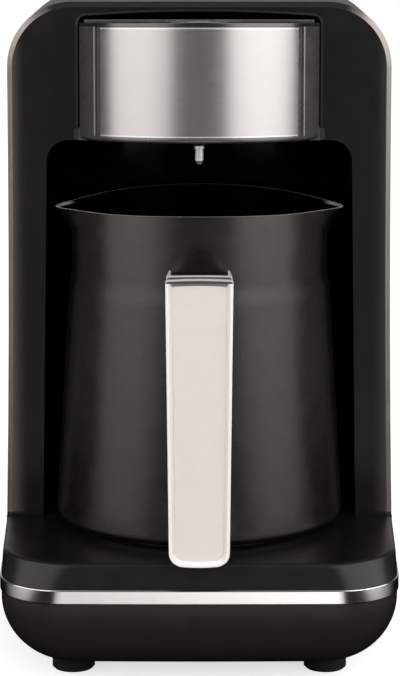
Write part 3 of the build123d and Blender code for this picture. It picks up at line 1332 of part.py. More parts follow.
def handle_pegs(radius):
    """Pegs on the back of the shell."""
    with BuildPart() as pegs:
        with BuildSketch(Plane.XZ.offset(-SHELL_REAR)):
            with Locations((0, HANDLE_BOTTOM + PEG_DROP), (0, HANDLE_TOP - PEG_DROP)):
                Circle(radius)
        extrude(amount=-PEG_LENGTH)
    return pegs.part


with BuildPart() as handle_bracket:
    add(pot_solid(SNUG / 2 + BRACKET_SHEET))
    with BuildSketch(Plane.XZ):
        with Locations((0, BRACKET_TOP - BRACKET_HEIGHT / 2)):
            RectangleRounded(2 * BRACKET_HALF, BRACKET_HEIGHT, BRACKET_CORNER)
    extrude(amount=HANDLE_FACE, mode=Mode.INTERSECT)
    add(bracket_tongue())
    add(pot_solid(SNUG / 2), mode=Mode.SUBTRACT)
    add(on_screw(SCREW_SEAT, BRACKET_TOP + 1, SCREW_RADIUS + SNUG), mode=Mode.SUBTRACT)
save(handle_bracket.part, "handle_bracket")

with BuildPart() as handle_shell:
    extrude(handle_outline(-HANDLE_FACE), amount=SHELL_DEPTH, dir=(0, 1, 0))
    chamfer(handle_shell.faces().sort_by(Axis.Y)[0].edges(), FRONT_EDGE)
    add(handle_ridge())
    add(handle_ears())
    add(handle_pegs(SCREW_RADIUS))
    add(pot_solid(SNUG / 2), mode=Mode.SUBTRACT)
    bevel_y = FACE_BEVEL - HANDLE_FACE
    pocket = FACE_RIM + FACE_BEVEL
    loft([handle_outline(-HANDLE_FACE, FACE_RIM), handle_outline(bevel_y, pocket)], mode=Mode.SUBTRACT)
    extrude(handle_outline(bevel_y, pocket), amount=INLAY_SHEET + SNUG, dir=(0, 1, 0), mode=Mode.SUBTRACT)
save(handle_shell.part, "handle_shell")

with BuildPart() as handle_inlay:
    extrude(handle_outline(bevel_y, pocket + SNUG / 2), amount=INLAY_SHEET, dir=(0, 1, 0))
save(handle_inlay.part, "handle_inlay")

with BuildPart() as handle_grip:
    front = SHELL_REAR + SNUG / 2
    corner = GRIP_REAR + ARM_SWEEP
    add(side_profile([(front, HANDLE_BOTTOM), (front, arm_top(front)), (GRIP_REAR, arm_top(GRIP_REAR)),
                      (GRIP_REAR, HANDLE_BOTTOM)], 2 * HANDLE_HALF_TOP))
    extrude(handle_outline(-HANDLE_FACE, GRIP_INSET), amount=HANDLE_FACE, dir=(0, 1, 0), mode=Mode.INTERSECT)
    back = GRIP_REAR - GRIP_INSET
    add(side_profile([(back, arm_top(back)), (ARM_REAR, arm_top(ARM_REAR)),
                      (ARM_REAR, arm_top(ARM_REAR) - ARM_DEPTH), (corner, arm_top(corner) - ARM_DEPTH),
                      (back, arm_top(corner) - ARM_DEPTH - ARM_SWEEP)], ARM_HALF))
    add(handle_ears(SNUG), mode=Mode.SUBTRACT)
    add(pot_solid(SNUG + BRACKET_SHEET), mode=Mode.SUBTRACT)
    add(bracket_tongue(SNUG), mode=Mode.SUBTRACT)
    add(handle_pegs(SCREW_RADIUS + SNUG / 2), mode=Mode.SUBTRACT)
    add(on_screw(SCREW_SEAT, BRACKET_TOP, SCREW_RADIUS + SNUG), mode=Mode.SUBTRACT)
    add(on_screw(BRACKET_TOP, SCREW_SEAT + SCREW_REACH, SCREW_RADIUS), mode=Mode.SUBTRACT)
    add(on_screw(HANDLE_BOTTOM, SCREW_SEAT, SCREW_HEAD + HEAD_CLEAR), mode=Mode.SUBTRACT)
save(handle_grip.part, "handle_grip")

with BuildPart() as handle_screw:
    add(on_screw(SCREW_SEAT, SCREW_SEAT + SCREW_REACH, SCREW_RADIUS))
    add(on_screw(SCREW_SEAT - SCREW_HEAD_SHEET, SCREW_SEAT, SCREW_HEAD))
save(handle_screw.part, "handle_screw")
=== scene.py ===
"""Looks for an electric Turkish coffee maker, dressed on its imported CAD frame.

Metres. The origin is on the floor under the pot, +Z is up and the front faces -Y.
The sections follow the machine as it is put together, from the feet up to the pot.
"""
import math

import bpy
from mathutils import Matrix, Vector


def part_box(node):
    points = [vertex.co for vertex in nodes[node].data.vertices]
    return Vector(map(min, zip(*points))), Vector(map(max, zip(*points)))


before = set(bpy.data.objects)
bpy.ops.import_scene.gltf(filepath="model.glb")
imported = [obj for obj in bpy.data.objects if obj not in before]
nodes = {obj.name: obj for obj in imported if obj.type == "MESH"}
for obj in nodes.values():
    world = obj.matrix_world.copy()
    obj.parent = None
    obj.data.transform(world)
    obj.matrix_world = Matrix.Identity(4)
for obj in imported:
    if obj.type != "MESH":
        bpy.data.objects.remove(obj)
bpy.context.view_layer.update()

# ---------------------------------------------------------------- camera
# A long lens almost a metre in front of the machine, a little above it and tipped down. Its picture
# is shifted downwards, which brings the feet into the tall frame.
CAMERA_PLACE = (0.0, -0.9148, 0.2875)
CAMERA_DOWN = 7.638         # degrees
CAMERA_LENS = 132.95        # millimetres
CAMERA_SHIFT = (0.001, -0.2)
CAMERA_REACH = 20

camera = bpy.data.objects.new("camera", bpy.data.cameras.new("camera"))
bpy.context.scene.collection.objects.link(camera)
bpy.context.scene.camera = camera
camera.location = CAMERA_PLACE
camera.rotation_euler = (math.radians(90 - CAMERA_DOWN), 0, 0)
camera.data.lens = CAMERA_LENS
camera.data.shift_x, camera.data.shift_y = CAMERA_SHIFT
camera.data.clip_end = CAMERA_REACH

# ---------------------------------------------------------------- studio: floor, surround and lamps
# White floor and surround, two tall soft boxes at the sides, a soft one above and a fill in front.
# Gloss finds the floor bright only in front and at the sides, as it would between black screens.
FLOOR_SIDE = 6.0
FLOOR_PAINT = (0.92, 0.92, 0.92)
FLOOR_ROUGHNESS = 0.9
FLOOR_SPECULAR = 0.1
FLOOR_BOUNCE = 0.2          # share of its paint that lights the machine from below
NEAR_LIFT = 0.62            # the floor's own glow, which leaves it white and its shadow soft
FAR_LIFT = 1.0
FAR_REACH = 1.6             # metres from the machine at which the glow is full
SHADE_REACH = (0.35, 0.5)   # gloss finds the paint black up to the first and plain past the second
BRIGHT_REACH = (0.24, 0.34)  # the strip in front shines up to the first and ends at the second
STRIP_START = (0.13, 0.17)  # nearer than this the machine's own shade hides it
FRONT_STRIP = (0.07, 0.09)  # half widths between which it fades out
STRIP_GLOW = (0.05, 0.55)   # its glow on the left and on the right
STRIP_HALF = 0.08
SIDE_STRIP = (0.15, 0.18)   # half widths between which the side floor begins
SIDE_SPREAD = (0.4, 0.8)    # sideways share of the way out at which it turns bright
SIDE_END = (-0.12, 0.04)    # and where it ends towards the back
SIDE_GLOW = (0.6, 0.65)     # its glow on the left and on the right
SIDE_HALF = 0.2
SURROUND_LIGHT = 0.05       # strength that lights the machine
FRONT_DARK = 0.07           # what gloss shows of the dark studio in front and at the sides
BACK_BRIGHT = (0.75, 0.95)  # rearward share of a direction from which gloss finds the pale backdrop
BACK_GLOSS = 0.4
LAMP_AIM = 0.12             # height of the machine's middle
LEFT_TINT = (1.0, 0.975, 0.965)
RIGHT_TINT = (1.0, 0.985, 0.98)
bpy.context.scene.view_settings.view_transform = "Standard"


def feed(owner, value, node, name):
    """Lead a socket's value into a node's input, which is named or numbered."""
    owner.node_tree.links.new(value, node.inputs[name])


def add_node(owner, kind, **settings):
    """Add one shader node and set its plain properties."""
    node = owner.node_tree.nodes.new(kind)
    for key, value in settings.items():
        setattr(node, key, value)
    return node


def calculate(owner, operation, first, second, clamp=False):
    """Math node whose inputs are sockets or numbers; gives its result socket."""
    node = add_node(owner, "ShaderNodeMath", operation=operation, use_clamp=clamp)
    for place, value in enumerate((first, second)):
        if isinstance(value, (int, float)):
            node.inputs[place].default_value = value
        else:
            feed(owner, value, node, place)
    return node.outputs[0]


def without_sign(owner, value):
    """Socket's value with its sign dropped."""
    return calculate(owner, "ABSOLUTE", value, 0.0)


def overlap(owner, *masks):
    """Product of several masks or shares."""
    product = masks[0]
    for mask in masks[1:]:
        product = calculate(owner, "MULTIPLY", product, mask)
    return product


def ramp_between(owner, value, low, high, low_result=0.0, high_result=1.0):
    """Smooth step of a socket's value between two results."""
    node = add_node(owner, "ShaderNodeMapRange", interpolation_type="SMOOTHSTEP")
    node.inputs["From Min"].default_value = low
    node.inputs["From Max"].default_value = high
    node.inputs["To Min"].default_value = low_result
    node.inputs["To Max"].default_value = high_result
    feed(owner, value, node, "Value")
    return node.outputs["Result"]


def blend_colour(owner, share, first, second):
    """Colour that goes from the first to the second with a socket's share."""
    mix = add_node(owner, "ShaderNodeMix", data_type="RGBA")
    feed(owner, share, mix, "Factor")
    for place, colour in ((6, first), (7, second)):
        if isinstance(colour, tuple):
            mix.inputs[place].default_value = (*colour, 1)
        else:
            feed(owner, colour, mix, place)
    return mix.outputs[2]


def split_axes(owner, vector):
    """Sockets of a vector's three shares."""
    node = add_node(owner, "ShaderNodeSeparateXYZ")
    feed(owner, vector, node, "Vector")
    return node.outputs


def seen_rays(owner):
    """Sockets that say whether a ray comes from the camera, and whether from gloss or glass."""
    path = add_node(owner, "ShaderNodeLightPath")
    gloss = calculate(owner, "MAXIMUM", path.outputs["Is Glossy Ray"], path.outputs["Is Transmission Ray"])
    return path.outputs["Is Camera Ray"], gloss


floor_mesh = bpy.data.meshes.new("floor")
half_floor = FLOOR_SIDE / 2
floor_mesh.from_pydata([(-half_floor, -half_floor, 0), (half_floor, -half_floor, 0),
                        (half_floor, half_floor, 0), (-half_floor, half_floor, 0)], [], [(0, 1, 2, 3)])
floor = bpy.data.objects.new("floor", floor_mesh)
bpy.context.scene.collection.objects.link(floor)

floor_paint = bpy.data.materials.new("floor_paint")
floor_paint.use_nodes = True
floor_shader = floor_paint.node_tree.nodes["Principled BSDF"]
floor_shader.inputs["Roughness"].default_value = FLOOR_ROUGHNESS
floor_shader.inputs["Specular IOR Level"].default_value = FLOOR_SPECULAR
camera_ray, gloss_ray = seen_rays(floor_paint)
floor_place = add_node(floor_paint, "ShaderNodeTexCoord").outputs["Object"]
floor_length = add_node(floor_paint, "ShaderNodeVectorMath", operation="LENGTH")
feed(floor_paint, floor_place, floor_length, "Vector")
reach = floor_length.outputs["Value"]
floor_axes = split_axes(floor_paint, floor_place)
aside = without_sign(floor_paint, floor_axes["X"])
spread = calculate(floor_paint, "DIVIDE", aside, reach)
strip_share = overlap(floor_paint, gloss_ray,
                      ramp_between(floor_paint, reach, *BRIGHT_REACH, 1.0, 0.0),
                      ramp_between(floor_paint, reach, *STRIP_START),
                      ramp_between(floor_paint, aside, *FRONT_STRIP, 1.0, 0.0))
side_share = overlap(floor_paint, gloss_ray,
                     ramp_between(floor_paint, aside, *SIDE_STRIP),
                     ramp_between(floor_paint, spread, *SIDE_SPREAD),
                     ramp_between(floor_paint, floor_axes["Y"], *SIDE_END, 1.0, 0.0))
shaded = overlap(floor_paint, gloss_ray, ramp_between(floor_paint, reach, *SHADE_REACH, 1.0, 0.0))
bounce = blend_colour(floor_paint, shaded, tuple(value * FLOOR_BOUNCE for value in FLOOR_PAINT), (0, 0, 0))
paint_share = calculate(floor_paint, "MAXIMUM", camera_ray, strip_share)
feed(floor_paint, blend_colour(floor_paint, paint_share, bounce, FLOOR_PAINT), floor_shader, "Base Color")
camera_glow = overlap(floor_paint, camera_ray,
                      ramp_between(floor_paint, reach, 0.0, FAR_REACH, NEAR_LIFT, FAR_LIFT))
strip_glow = overlap(floor_paint, strip_share,
                     ramp_between(floor_paint, floor_axes["X"], -STRIP_HALF, STRIP_HALF, *STRIP_GLOW))
side_glow = overlap(floor_paint, side_share,
                    ramp_between(floor_paint, floor_axes["X"], -SIDE_HALF, SIDE_HALF, *SIDE_GLOW))
floor_glow = calculate(floor_paint, "ADD", camera_glow, strip_glow)
floor_glow = calculate(floor_paint, "ADD", floor_glow, side_glow)
floor_shader.inputs["Emission Color"].default_value = (1, 1, 1, 1)
feed(floor_paint, floor_glow, floor_shader, "Emission Strength")
floor_mesh.materials.append(floor_paint)

surround = bpy.data.worlds.new("surround")
surround.use_nodes = True
bpy.context.scene.world = surround
surround_back = surround.node_tree.nodes["Background"]
surround_back.inputs["Color"].default_value = (1, 1, 1, 1)
camera_ray, gloss_ray = seen_rays(surround)
heading = split_axes(surround, add_node(surround, "ShaderNodeTexCoord").outputs["Generated"])
gloss_light = overlap(surround, gloss_ray,
                      ramp_between(surround, heading["Y"], *BACK_BRIGHT, FRONT_DARK, BACK_GLOSS))
seen_light = calculate(surround, "MAXIMUM", camera_ray, gloss_light)
feed(surround, calculate(surround, "MAXIMUM", seen_light, SURROUND_LIGHT), surround_back, "Strength")


def soft_box(name, azimuth, elevation, distance, size, glow, tint=(1, 1, 1), shows_in_gloss=True):
    """Rectangular lamp aimed at the machine's middle; azimuth 0 is in front, positive to the right."""
    lamp = bpy.data.lights.new(name, "AREA")
    lamp.shape = "RECTANGLE"
    lamp.size, lamp.size_y = size
    lamp.energy = glow * math.pi * size[0] * size[1]
    lamp.color = tint
    box = bpy.data.objects.new(name, lamp)
    bpy.context.scene.collection.objects.link(box)
    turn, rise = math.radians(azimuth), math.radians(elevation)
    box.location = (distance * math.sin(turn) * math.cos(rise), -distance * math.cos(turn) * math.cos(rise),
                    LAMP_AIM + distance * math.sin(rise))
    box.rotation_euler = (math.radians(90) - rise, 0, turn)
    box.visible_camera = False
    box.visible_glossy = shows_in_gloss


soft_box("left_box", azimuth=-60, elevation=25, distance=1.25, size=(1.8, 1.3), glow=1.35, tint=LEFT_TINT)
soft_box("right_box", azimuth=64, elevation=25, distance=1.25, size=(2.0, 1.3), glow=1.8, tint=RIGHT_TINT)
soft_box("top_box", azimuth=0, elevation=80, distance=1.2, size=(1.2, 0.5), glow=0.6)
soft_box("top_fill", azimuth=0, elevation=78, distance=1.2, size=(1.2, 0.5), glow=0.6, shows_in_gloss=False)
soft_box("front_fill", azimuth=0, elevation=9, distance=1.7, size=(1.4, 1.0), glow=3.3, shows_in_gloss=False)

# ---------------------------------------------------------------- feet
# Four round rubber feet, moulded with a hollow underneath. Each is pushed into the base by a
# barbed stem that snaps behind the bowl's floor.
FOOT_RUBBER = (0.004, 0.004, 0.004)
CLOUD_SPAN = (0.3, 0.7)     # nearly all of a cloudy texture lies between these
PRESS_STRENGTH = 0.4


def wear_finish(node_name, finish):
    """Give a CAD node one finish in its only material slot and shade it smoothly.

    The node's faces stay apart, so its edges stay sharp.
    """
    piece = nodes[node_name]
    piece.data.polygons.foreach_set("use_smooth", [True] * len(piece.data.polygons))
    piece.data.materials.clear()
    piece.data.materials.append(finish)


def start_finish(name, roughness, metallic, specular=0.5):
    """New finish with its constant values set on the shader."""
    finish = bpy.data.materials.new(name)
    finish.use_nodes = True
    shader = finish.node_tree.nodes["Principled BSDF"]
    shader.inputs["Roughness"].default_value = roughness
    shader.inputs["Metallic"].default_value = metallic
    shader.inputs["Specular IOR Level"].default_value = specular
    return finish, shader


def place_texture(finish, stretch=(1, 1, 1)):
    """Texture space in metres, squeezed or stretched along the axes."""
    mapping = add_node(finish, "ShaderNodeMapping")
    mapping.inputs["Scale"].default_value = stretch
    feed(finish, add_node(finish, "ShaderNodeTexCoord").outputs["Object"], mapping, "Vector")
    return mapping.outputs["Vector"]


def grain(finish, space, lumps, detail=3.0):
    """Cloudy texture of one grain size, with so many lumps to the metre."""
    texture = add_node(finish, "ShaderNodeTexNoise")
    texture.inputs["Scale"].default_value = lumps
    texture.inputs["Detail"].default_value = detail
    feed(finish, space, texture, "Vector")
    return texture.outputs["Fac"]


def vary_colour(finish, shader, texture, colour, drift):
    """Let the colour drift by a share lighter and darker with a texture."""
    dark = tuple(value * (1 - drift) for value in colour)
    light = tuple(min(1.0, value * (1 + drift)) for value in colour)
    feed(finish, blend_colour(finish, texture, dark, light), shader, "Base Color")


def vary_roughness(finish, shader, texture, low, high):
    """Let the gloss drift between two values with a texture."""
    feed(finish, ramp_between(finish, texture, *CLOUD_SPAN, low, high), shader, "Roughness")


def roughen(finish, shader, texture, depth, strength=PRESS_STRENGTH):
    """Press a texture into the surface, depth in metres."""
    bump = add_node(finish, "ShaderNodeBump")
    bump.inputs["Distance"].default_value = depth
    bump.inputs["Strength"].default_value = strength
    feed(finish, texture, bump, "Height")
    feed(finish, bump.outputs["Normal"], shader, "Normal")


def plain_finish(name, colour, roughness, lumps, depth, metallic=0.0, specular=0.5, drift=0.12, cloud=12):
    """Finish whose colour and gloss drift over its surface, which has a fine grain.

    The roughness drifts between a pair of values and the colour by a share. The grain has so many
    lumps to the metre, each depth metres high, and a cloud of the drift is as wide as so many lumps.
    """
    finish, shader = start_finish(name, roughness[0], metallic, specular)
    space = place_texture(finish)
    clouds = grain(finish, space, lumps / cloud)
    vary_colour(finish, shader, clouds, colour, drift)
    vary_roughness(finish, shader, clouds, *roughness)
    roughen(finish, shader, grain(finish, space, lumps), depth)
    return finish


foot_rubber = plain_finish("foot_rubber", FOOT_RUBBER, roughness=(0.7, 0.85), lumps=2500, depth=5e-5)
wear_finish("feet", foot_rubber)

# ---------------------------------------------------------------- base bowl and the screws
# Injection-moulded lower housing in dark satin plastic, closed from below by four zinc-plated steel
# screws. The rear cover, the liner and the handle are held by screws of the same kind.
BOWL_COLOUR = (0.019, 0.0175, 0.0165)
STEEL_COLOUR = (0.45, 0.45, 0.43)
base_black = plain_finish("base_black", BOWL_COLOUR, roughness=(0.3, 0.38), lumps=1800, depth=1.2e-5,
                          specular=0.3)
wear_finish("base_bowl", base_black)
screw_steel = plain_finish("screw_steel", STEEL_COLOUR, roughness=(0.3, 0.45), lumps=3000, depth=1e-5,
                           metallic=1.0)
for screws in ("base_screws", "rear_screws", "liner_screws", "handle_screw"):
    wear_finish(screws, screw_steel)

# ---------------------------------------------------------------- bright band
# Plated trim ring with rounded edges. It is laid into the groove between the bowl and the front
# frame before the two are screwed together.
BAND_COLOUR = (0.86, 0.83, 0.81)
bright_band = plain_finish("bright_band", BAND_COLOUR, roughness=(0.1, 0.16), lumps=900, depth=4e-6,
                           metallic=1.0, drift=0.04)
wear_finish("base_band", bright_band)

# ---------------------------------------------------------------- front frame
# Deck and arched column in one dark satin moulding. The chamfer round the column's front is machined after
# moulding and lacquered to a metallic shine; where it faces upwards it keeps the dark face colour as painted
# shade. The bevel round the head's opening is painted lighter as a painted highlight, and the face is
# painted lighter towards the chamfer as a painted sheen.
HOUSING_COLOUR = (0.0055, 0.005, 0.0047)
RIM_COLOUR = (0.38, 0.335, 0.315)
# painted highlight on the bevel round the head's opening
OPENING_HIGHLIGHT_COLOUR = (0.06, 0.056, 0.053)
# painted sheen on the face towards the chamfer
PAINTED_SHEEN_COLOUR = (0.085, 0.076, 0.071)
COLUMN_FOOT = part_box("hot_plate")[1][2]  # the column's own finishes start at the plate's height
FLAT_FRONT = (-0.95, -0.98)   # forward share of the normal from which a face counts as flat
SLANT_FRONT = (-0.97, -0.9)   # between these and the next it counts as slanted
SLANT_SIDE = (-0.25, -0.35)
RIM_SHADE_FADE = (0.58, 0.68)       # upward share of the chamfer's normal between which it turns dark again, painted shade on its top
RIM_REACH = 0.0022            # the chamfer ends this far behind the column's front
OPENING_HALF = 0.0475         # half width, foot and top of the head's opening with its bevel
OPENING_FOOT = 0.1884
OPENING_TOP = 0.2359
PAINTED_SHEEN_REACH = (0.0625, 0.0712)  # half widths over which the face is painted lighter towards the chamfer, a painted sheen
PAINTED_SHEEN_SIDES = (-0.04, 0.04)
PAINTED_SHEEN_RIGHT = 0.45            # share of that painted sheen left on the right


def position_of(finish):
    """Sockets of a surface point's place and of its normal, both in the machine's axes."""
    coordinates = add_node(finish, "ShaderNodeTexCoord").outputs
    return split_axes(finish, coordinates["Object"]), split_axes(finish, coordinates["Normal"])


def above(finish, value, limit, blur=0.0001):
    """Mask of a socket's value past a limit, with a soft edge."""
    return ramp_between(finish, value, limit, limit + blur)


def below(finish, value, limit, blur=0.0001):
    """Mask of a socket's value under a limit, with a soft edge."""
    return ramp_between(finish, value, limit, limit - blur)


def worn_colour(finish):
    """Shader of a finish and the colour that already leads into it."""
    shader = finish.node_tree.nodes["Principled BSDF"]
    return shader, shader.inputs["Base Color"].links[0].from_socket


housing_black = plain_finish("housing_black", HOUSING_COLOUR, roughness=(0.31, 0.36), lumps=1800, depth=1e-5)
shader, colour = worn_colour(housing_black)
place, facing = position_of(housing_black)
from_middle = without_sign(housing_black, place["X"])
above_deck = above(housing_black, place["Z"], COLUMN_FOOT, blur=0.001)
slanted = overlap(housing_black, above_deck,
                  ramp_between(housing_black, facing["Y"], *SLANT_FRONT),
                  ramp_between(housing_black, facing["Y"], *SLANT_SIDE),
                  below(housing_black, place["Y"], RIM_REACH))
opening_zone = overlap(housing_black, below(housing_black, from_middle, OPENING_HALF),
                       above(housing_black, place["Z"], OPENING_FOOT),
                       below(housing_black, place["Z"], OPENING_TOP))
bevel_highlight_mask = overlap(housing_black, slanted, opening_zone)
# Painted shade: where the chamfer faces upwards it keeps the dark face colour, not the metallic rim.
rim_mask = overlap(housing_black, slanted, calculate(housing_black, "SUBTRACT", 1.0, opening_zone),
                   ramp_between(housing_black, facing["Z"], *RIM_SHADE_FADE, 1.0, 0.0))
# Painted sheen: the face is painted lighter towards its left and right edges, less on the right.
painted_sheen = ramp_between(housing_black, from_middle, *PAINTED_SHEEN_REACH)
painted_sheen = overlap(housing_black, painted_sheen, painted_sheen, above_deck,
                ramp_between(housing_black, facing["Y"], *FLAT_FRONT),
                ramp_between(housing_black, place["X"], *PAINTED_SHEEN_SIDES, 1.0, PAINTED_SHEEN_RIGHT))
# Painted highlight: the bevel round the head's opening is painted lighter than the face.
colour = blend_colour(housing_black, bevel_highlight_mask, colour, OPENING_HIGHLIGHT_COLOUR)
colour = blend_colour(housing_black, painted_sheen, colour, PAINTED_SHEEN_COLOUR)
feed(housing_black, blend_colour(housing_black, rim_mask, colour, RIM_COLOUR), shader, "Base Color")
feed(housing_black, rim_mask, shader, "Metallic")
wear_finish("front_frame", housing_black)

# ---------------------------------------------------------------- niche liner
# Thin high-gloss black shell behind the pot, moulded in one piece and screwed to the back of the
# front frame.
NICHE_COLOUR = (0.0006, 0.0006, 0.0006)
niche_black = plain_finish("niche_black", NICHE_COLOUR, roughness=(0.12, 0.2), lumps=600, depth=4e-6,
                           specular=0.08)
wear_finish("niche_liner", niche_black)

# ---------------------------------------------------------------- rear cover and small mouldings
# Finely textured rear shell with cooling slots, screwed on from behind. The gland low in its middle
# takes the mains cord. The button's guide and the boards' posts are of the gland's plain plastic.
REAR_COLOUR = (0.0125, 0.012, 0.0115)
GLAND_COLOUR = (0.02, 0.02, 0.02)
rear_black = plain_finish("rear_black", REAR_COLOUR, roughness=(0.5, 0.6), lumps=2600, depth=4e-5)
wear_finish("rear_cover", rear_black)
inner_plastic = plain_finish("inner_plastic", GLAND_COLOUR, roughness=(0.5, 0.6), lumps=2000, depth=3e-5)
for moulding in ("cord_gland", "button_guide", "board_pillars", "board_standoffs"):
    wear_finish(moulding, inner_plastic)

# ---------------------------------------------------------------- head shell, floor and lid
# Dark semi-gloss drum with a rounded lower trim, pushed into the column's sleeve. A gloss floor and
# a gloss lid with a brighter rim close it.
HEAD_COLOUR = (0.24, 0.231, 0.228)
HEAD_METAL = 0.85           # the lacquer is full of metal flakes
EAR_COLOUR = (0.11, 0.106, 0.104)
EAR_HALF = 0.0442           # the shell's ears lie beyond this half width and below this height
EAR_TOP = 0.197
TRIM_COLOUR = (0.005, 0.005, 0.005)
LID_RIM_COLOUR = (0.155, 0.15, 0.148)
LID_TURN = (0.7, 0.4)       # upward share of the lid's normal between which its rim begins
head_black = plain_finish("head_black", HEAD_COLOUR, roughness=(0.26, 0.32), lumps=1500, depth=6e-6,
                          metallic=HEAD_METAL)
shader, colour = worn_colour(head_black)
place, _ = position_of(head_black)
from_middle = without_sign(head_black, place["X"])
ear_zone = overlap(head_black, above(head_black, from_middle, EAR_HALF, blur=0.0002),
                   below(head_black, place["Z"], EAR_TOP, blur=0.0005))
feed(head_black, blend_colour(head_black, ear_zone, colour, EAR_COLOUR), shader, "Base Color")
wear_finish("head_shell", head_black)
head_trim_black = plain_finish("head_trim_black", TRIM_COLOUR, roughness=(0.14, 0.2), lumps=900, depth=4e-6)
wear_finish("head_underside", head_trim_black)
lid_black = plain_finish("lid_black", TRIM_COLOUR, roughness=(0.2, 0.26), lumps=900, depth=2e-6,
                         specular=0.12)
shader, colour = worn_colour(lid_black)
_, facing = position_of(lid_black)
lid_rim = ramp_between(lid_black, facing["Z"], *LID_TURN)
feed(lid_black, blend_colour(lid_black, lid_rim, colour, LID_RIM_COLOUR), shader, "Base Color")
feed(lid_black, lid_rim, shader, "Metallic")
wear_finish("head_top", lid_black)

# ---------------------------------------------------------------- steel panel
# Thin steel sheet, brushed round the drum and rolled to its curve. It is glued into a recess of the
# drum, and its upper and lower cut edges are rounded and polished; a thin band along them is painted
# lighter and less metallic as a painted highlight.
PANEL_COLOUR = (0.66, 0.632, 0.618)
PANEL_ROUGHNESS = 0.34
ROUGHNESS_DRIFT = 0.05
PANEL_STROKES = (90, 90, 5200)  # brush strokes to the metre along each axis
STROKE_DETAIL = 4.0
STROKE_DRIFT = 0.1
STROKE_DEPTH = 3e-6
STROKE_STRENGTH = 0.3
PANEL_STRETCH = 0.6         # how far the strokes stretch its gloss
ACROSS_STROKES = 0.25       # turns the stretched gloss across the strokes
HEAD_SLOPE = math.tan(math.radians(3.5))
EDGE_WIDTH = 0.0007
# painted highlight along the panel's cut edges
EDGE_HIGHLIGHT_COLOUR = (0.95, 0.93, 0.92)
EDGE_HIGHLIGHT_METAL = 0.75


def blend_value(owner, share, first, second):
    """Value that goes from the first to the second with a socket's share."""
    return ramp_between(owner, share, 0.0, 1.0, first, second)


steel_panel, shader = start_finish("steel_panel", PANEL_ROUGHNESS, metallic=1.0)
shader.inputs["Anisotropic"].default_value = PANEL_STRETCH
shader.inputs["Anisotropic Rotation"].default_value = ACROSS_STROKES
strokes = grain(steel_panel, place_texture(steel_panel, PANEL_STROKES), 1.0, STROKE_DETAIL)
vary_colour(steel_panel, shader, strokes, PANEL_COLOUR, STROKE_DRIFT)
vary_roughness(steel_panel, shader, strokes, PANEL_ROUGHNESS - ROUGHNESS_DRIFT,
               PANEL_ROUGHNESS + ROUGHNESS_DRIFT)
roughen(steel_panel, shader, strokes, STROKE_DEPTH, STROKE_STRENGTH)
round_drum = add_node(steel_panel, "ShaderNodeTangent", direction_type="RADIAL", axis="Z")
feed(steel_panel, round_drum.outputs["Tangent"], shader, "Tangent")
shader, colour = worn_colour(steel_panel)
place, _ = position_of(steel_panel)
panel_low, panel_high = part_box("head_panel")
level = calculate(steel_panel, "ADD", place["Z"], calculate(steel_panel, "MULTIPLY", place["Y"], HEAD_SLOPE))
top_edge = panel_high[2] + panel_low[1] * HEAD_SLOPE - EDGE_WIDTH
lower_edge = panel_low[2] + panel_high[1] * HEAD_SLOPE + EDGE_WIDTH
# Painted highlight: a thin band along the panel's upper and lower cut edges is painted lighter and less
# metallic.
edge_highlight_zone = calculate(steel_panel, "ADD", above(steel_panel, level, top_edge, blur=EDGE_WIDTH / 2),
                      below(steel_panel, level, lower_edge, blur=EDGE_WIDTH / 2), clamp=True)
feed(steel_panel, blend_colour(steel_panel, edge_highlight_zone, colour, EDGE_HIGHLIGHT_COLOUR), shader, "Base Color")
feed(steel_panel, blend_value(steel_panel, edge_highlight_zone, 1.0, EDGE_HIGHLIGHT_METAL), shader, "Metallic")
wear_finish("head_panel", steel_panel)

# ---------------------------------------------------------------- button, rings and spring
# Moulded gloss push button in a plated ring on the head's lid, with a plated strip behind it. A coil
# spring of drawn steel wire sits hidden under the cap.
BUTTON_COLOUR = (0.004, 0.004, 0.004)
RING_COLOUR = (0.8, 0.8, 0.8)
button_black = plain_finish("button_black", BUTTON_COLOUR, roughness=(0.12, 0.18), lumps=900, depth=4e-6)
wear_finish("brew_button", button_black)
ring_chrome = plain_finish("ring_chrome", RING_COLOUR, roughness=(0.24, 0.3), lumps=900, depth=4e-6,
                           metallic=1.0, drift=0.04)
for ring in ("button_ring", "head_strip"):
    wear_finish(ring, ring_chrome)
spring_steel = plain_finish("spring_steel", STEEL_COLOUR, roughness=(0.3, 0.4), lumps=3000, depth=1e-5,
                            metallic=1.0)
wear_finish("button_spring", spring_steel)

# ---------------------------------------------------------------- boards and wiring
# A circuit board in the head and one in the base, with their parts soldered on, and the sleeved wires
# that join them up the column. All of it is hidden inside the housing.
BOARD_GREEN = (0.01, 0.09, 0.035)
PART_BLACK = (0.012, 0.012, 0.012)
RELAY_BLUE = (0.02, 0.06, 0.3)
TERMINAL_GREEN = (0.02, 0.25, 0.06)
circuit_board = plain_finish("circuit_board", BOARD_GREEN, roughness=(0.3, 0.4), lumps=1500, depth=2e-5)
for board in ("control_board", "power_board"):
    wear_finish(board, circuit_board)
component_black = plain_finish("component_black", PART_BLACK, roughness=(0.45, 0.55), lumps=2500, depth=2e-5)
for part in ("button_switch", "control_chips", "buzzer", "power_parts"):
    wear_finish(part, component_black)
relay_blue = plain_finish("relay_blue", RELAY_BLUE, roughness=(0.4, 0.5), lumps=2500, depth=2e-5)
wear_finish("relay", relay_blue)
terminal_green = plain_finish("terminal_green", TERMINAL_GREEN, roughness=(0.4, 0.5), lumps=2500, depth=2e-5)
wear_finish("terminal_block", terminal_green)
loom_sleeve = plain_finish("loom_sleeve", PART_BLACK, roughness=(0.5, 0.6), lumps=2500, depth=4e-5)
wear_finish("wire_loom", loom_sleeve)

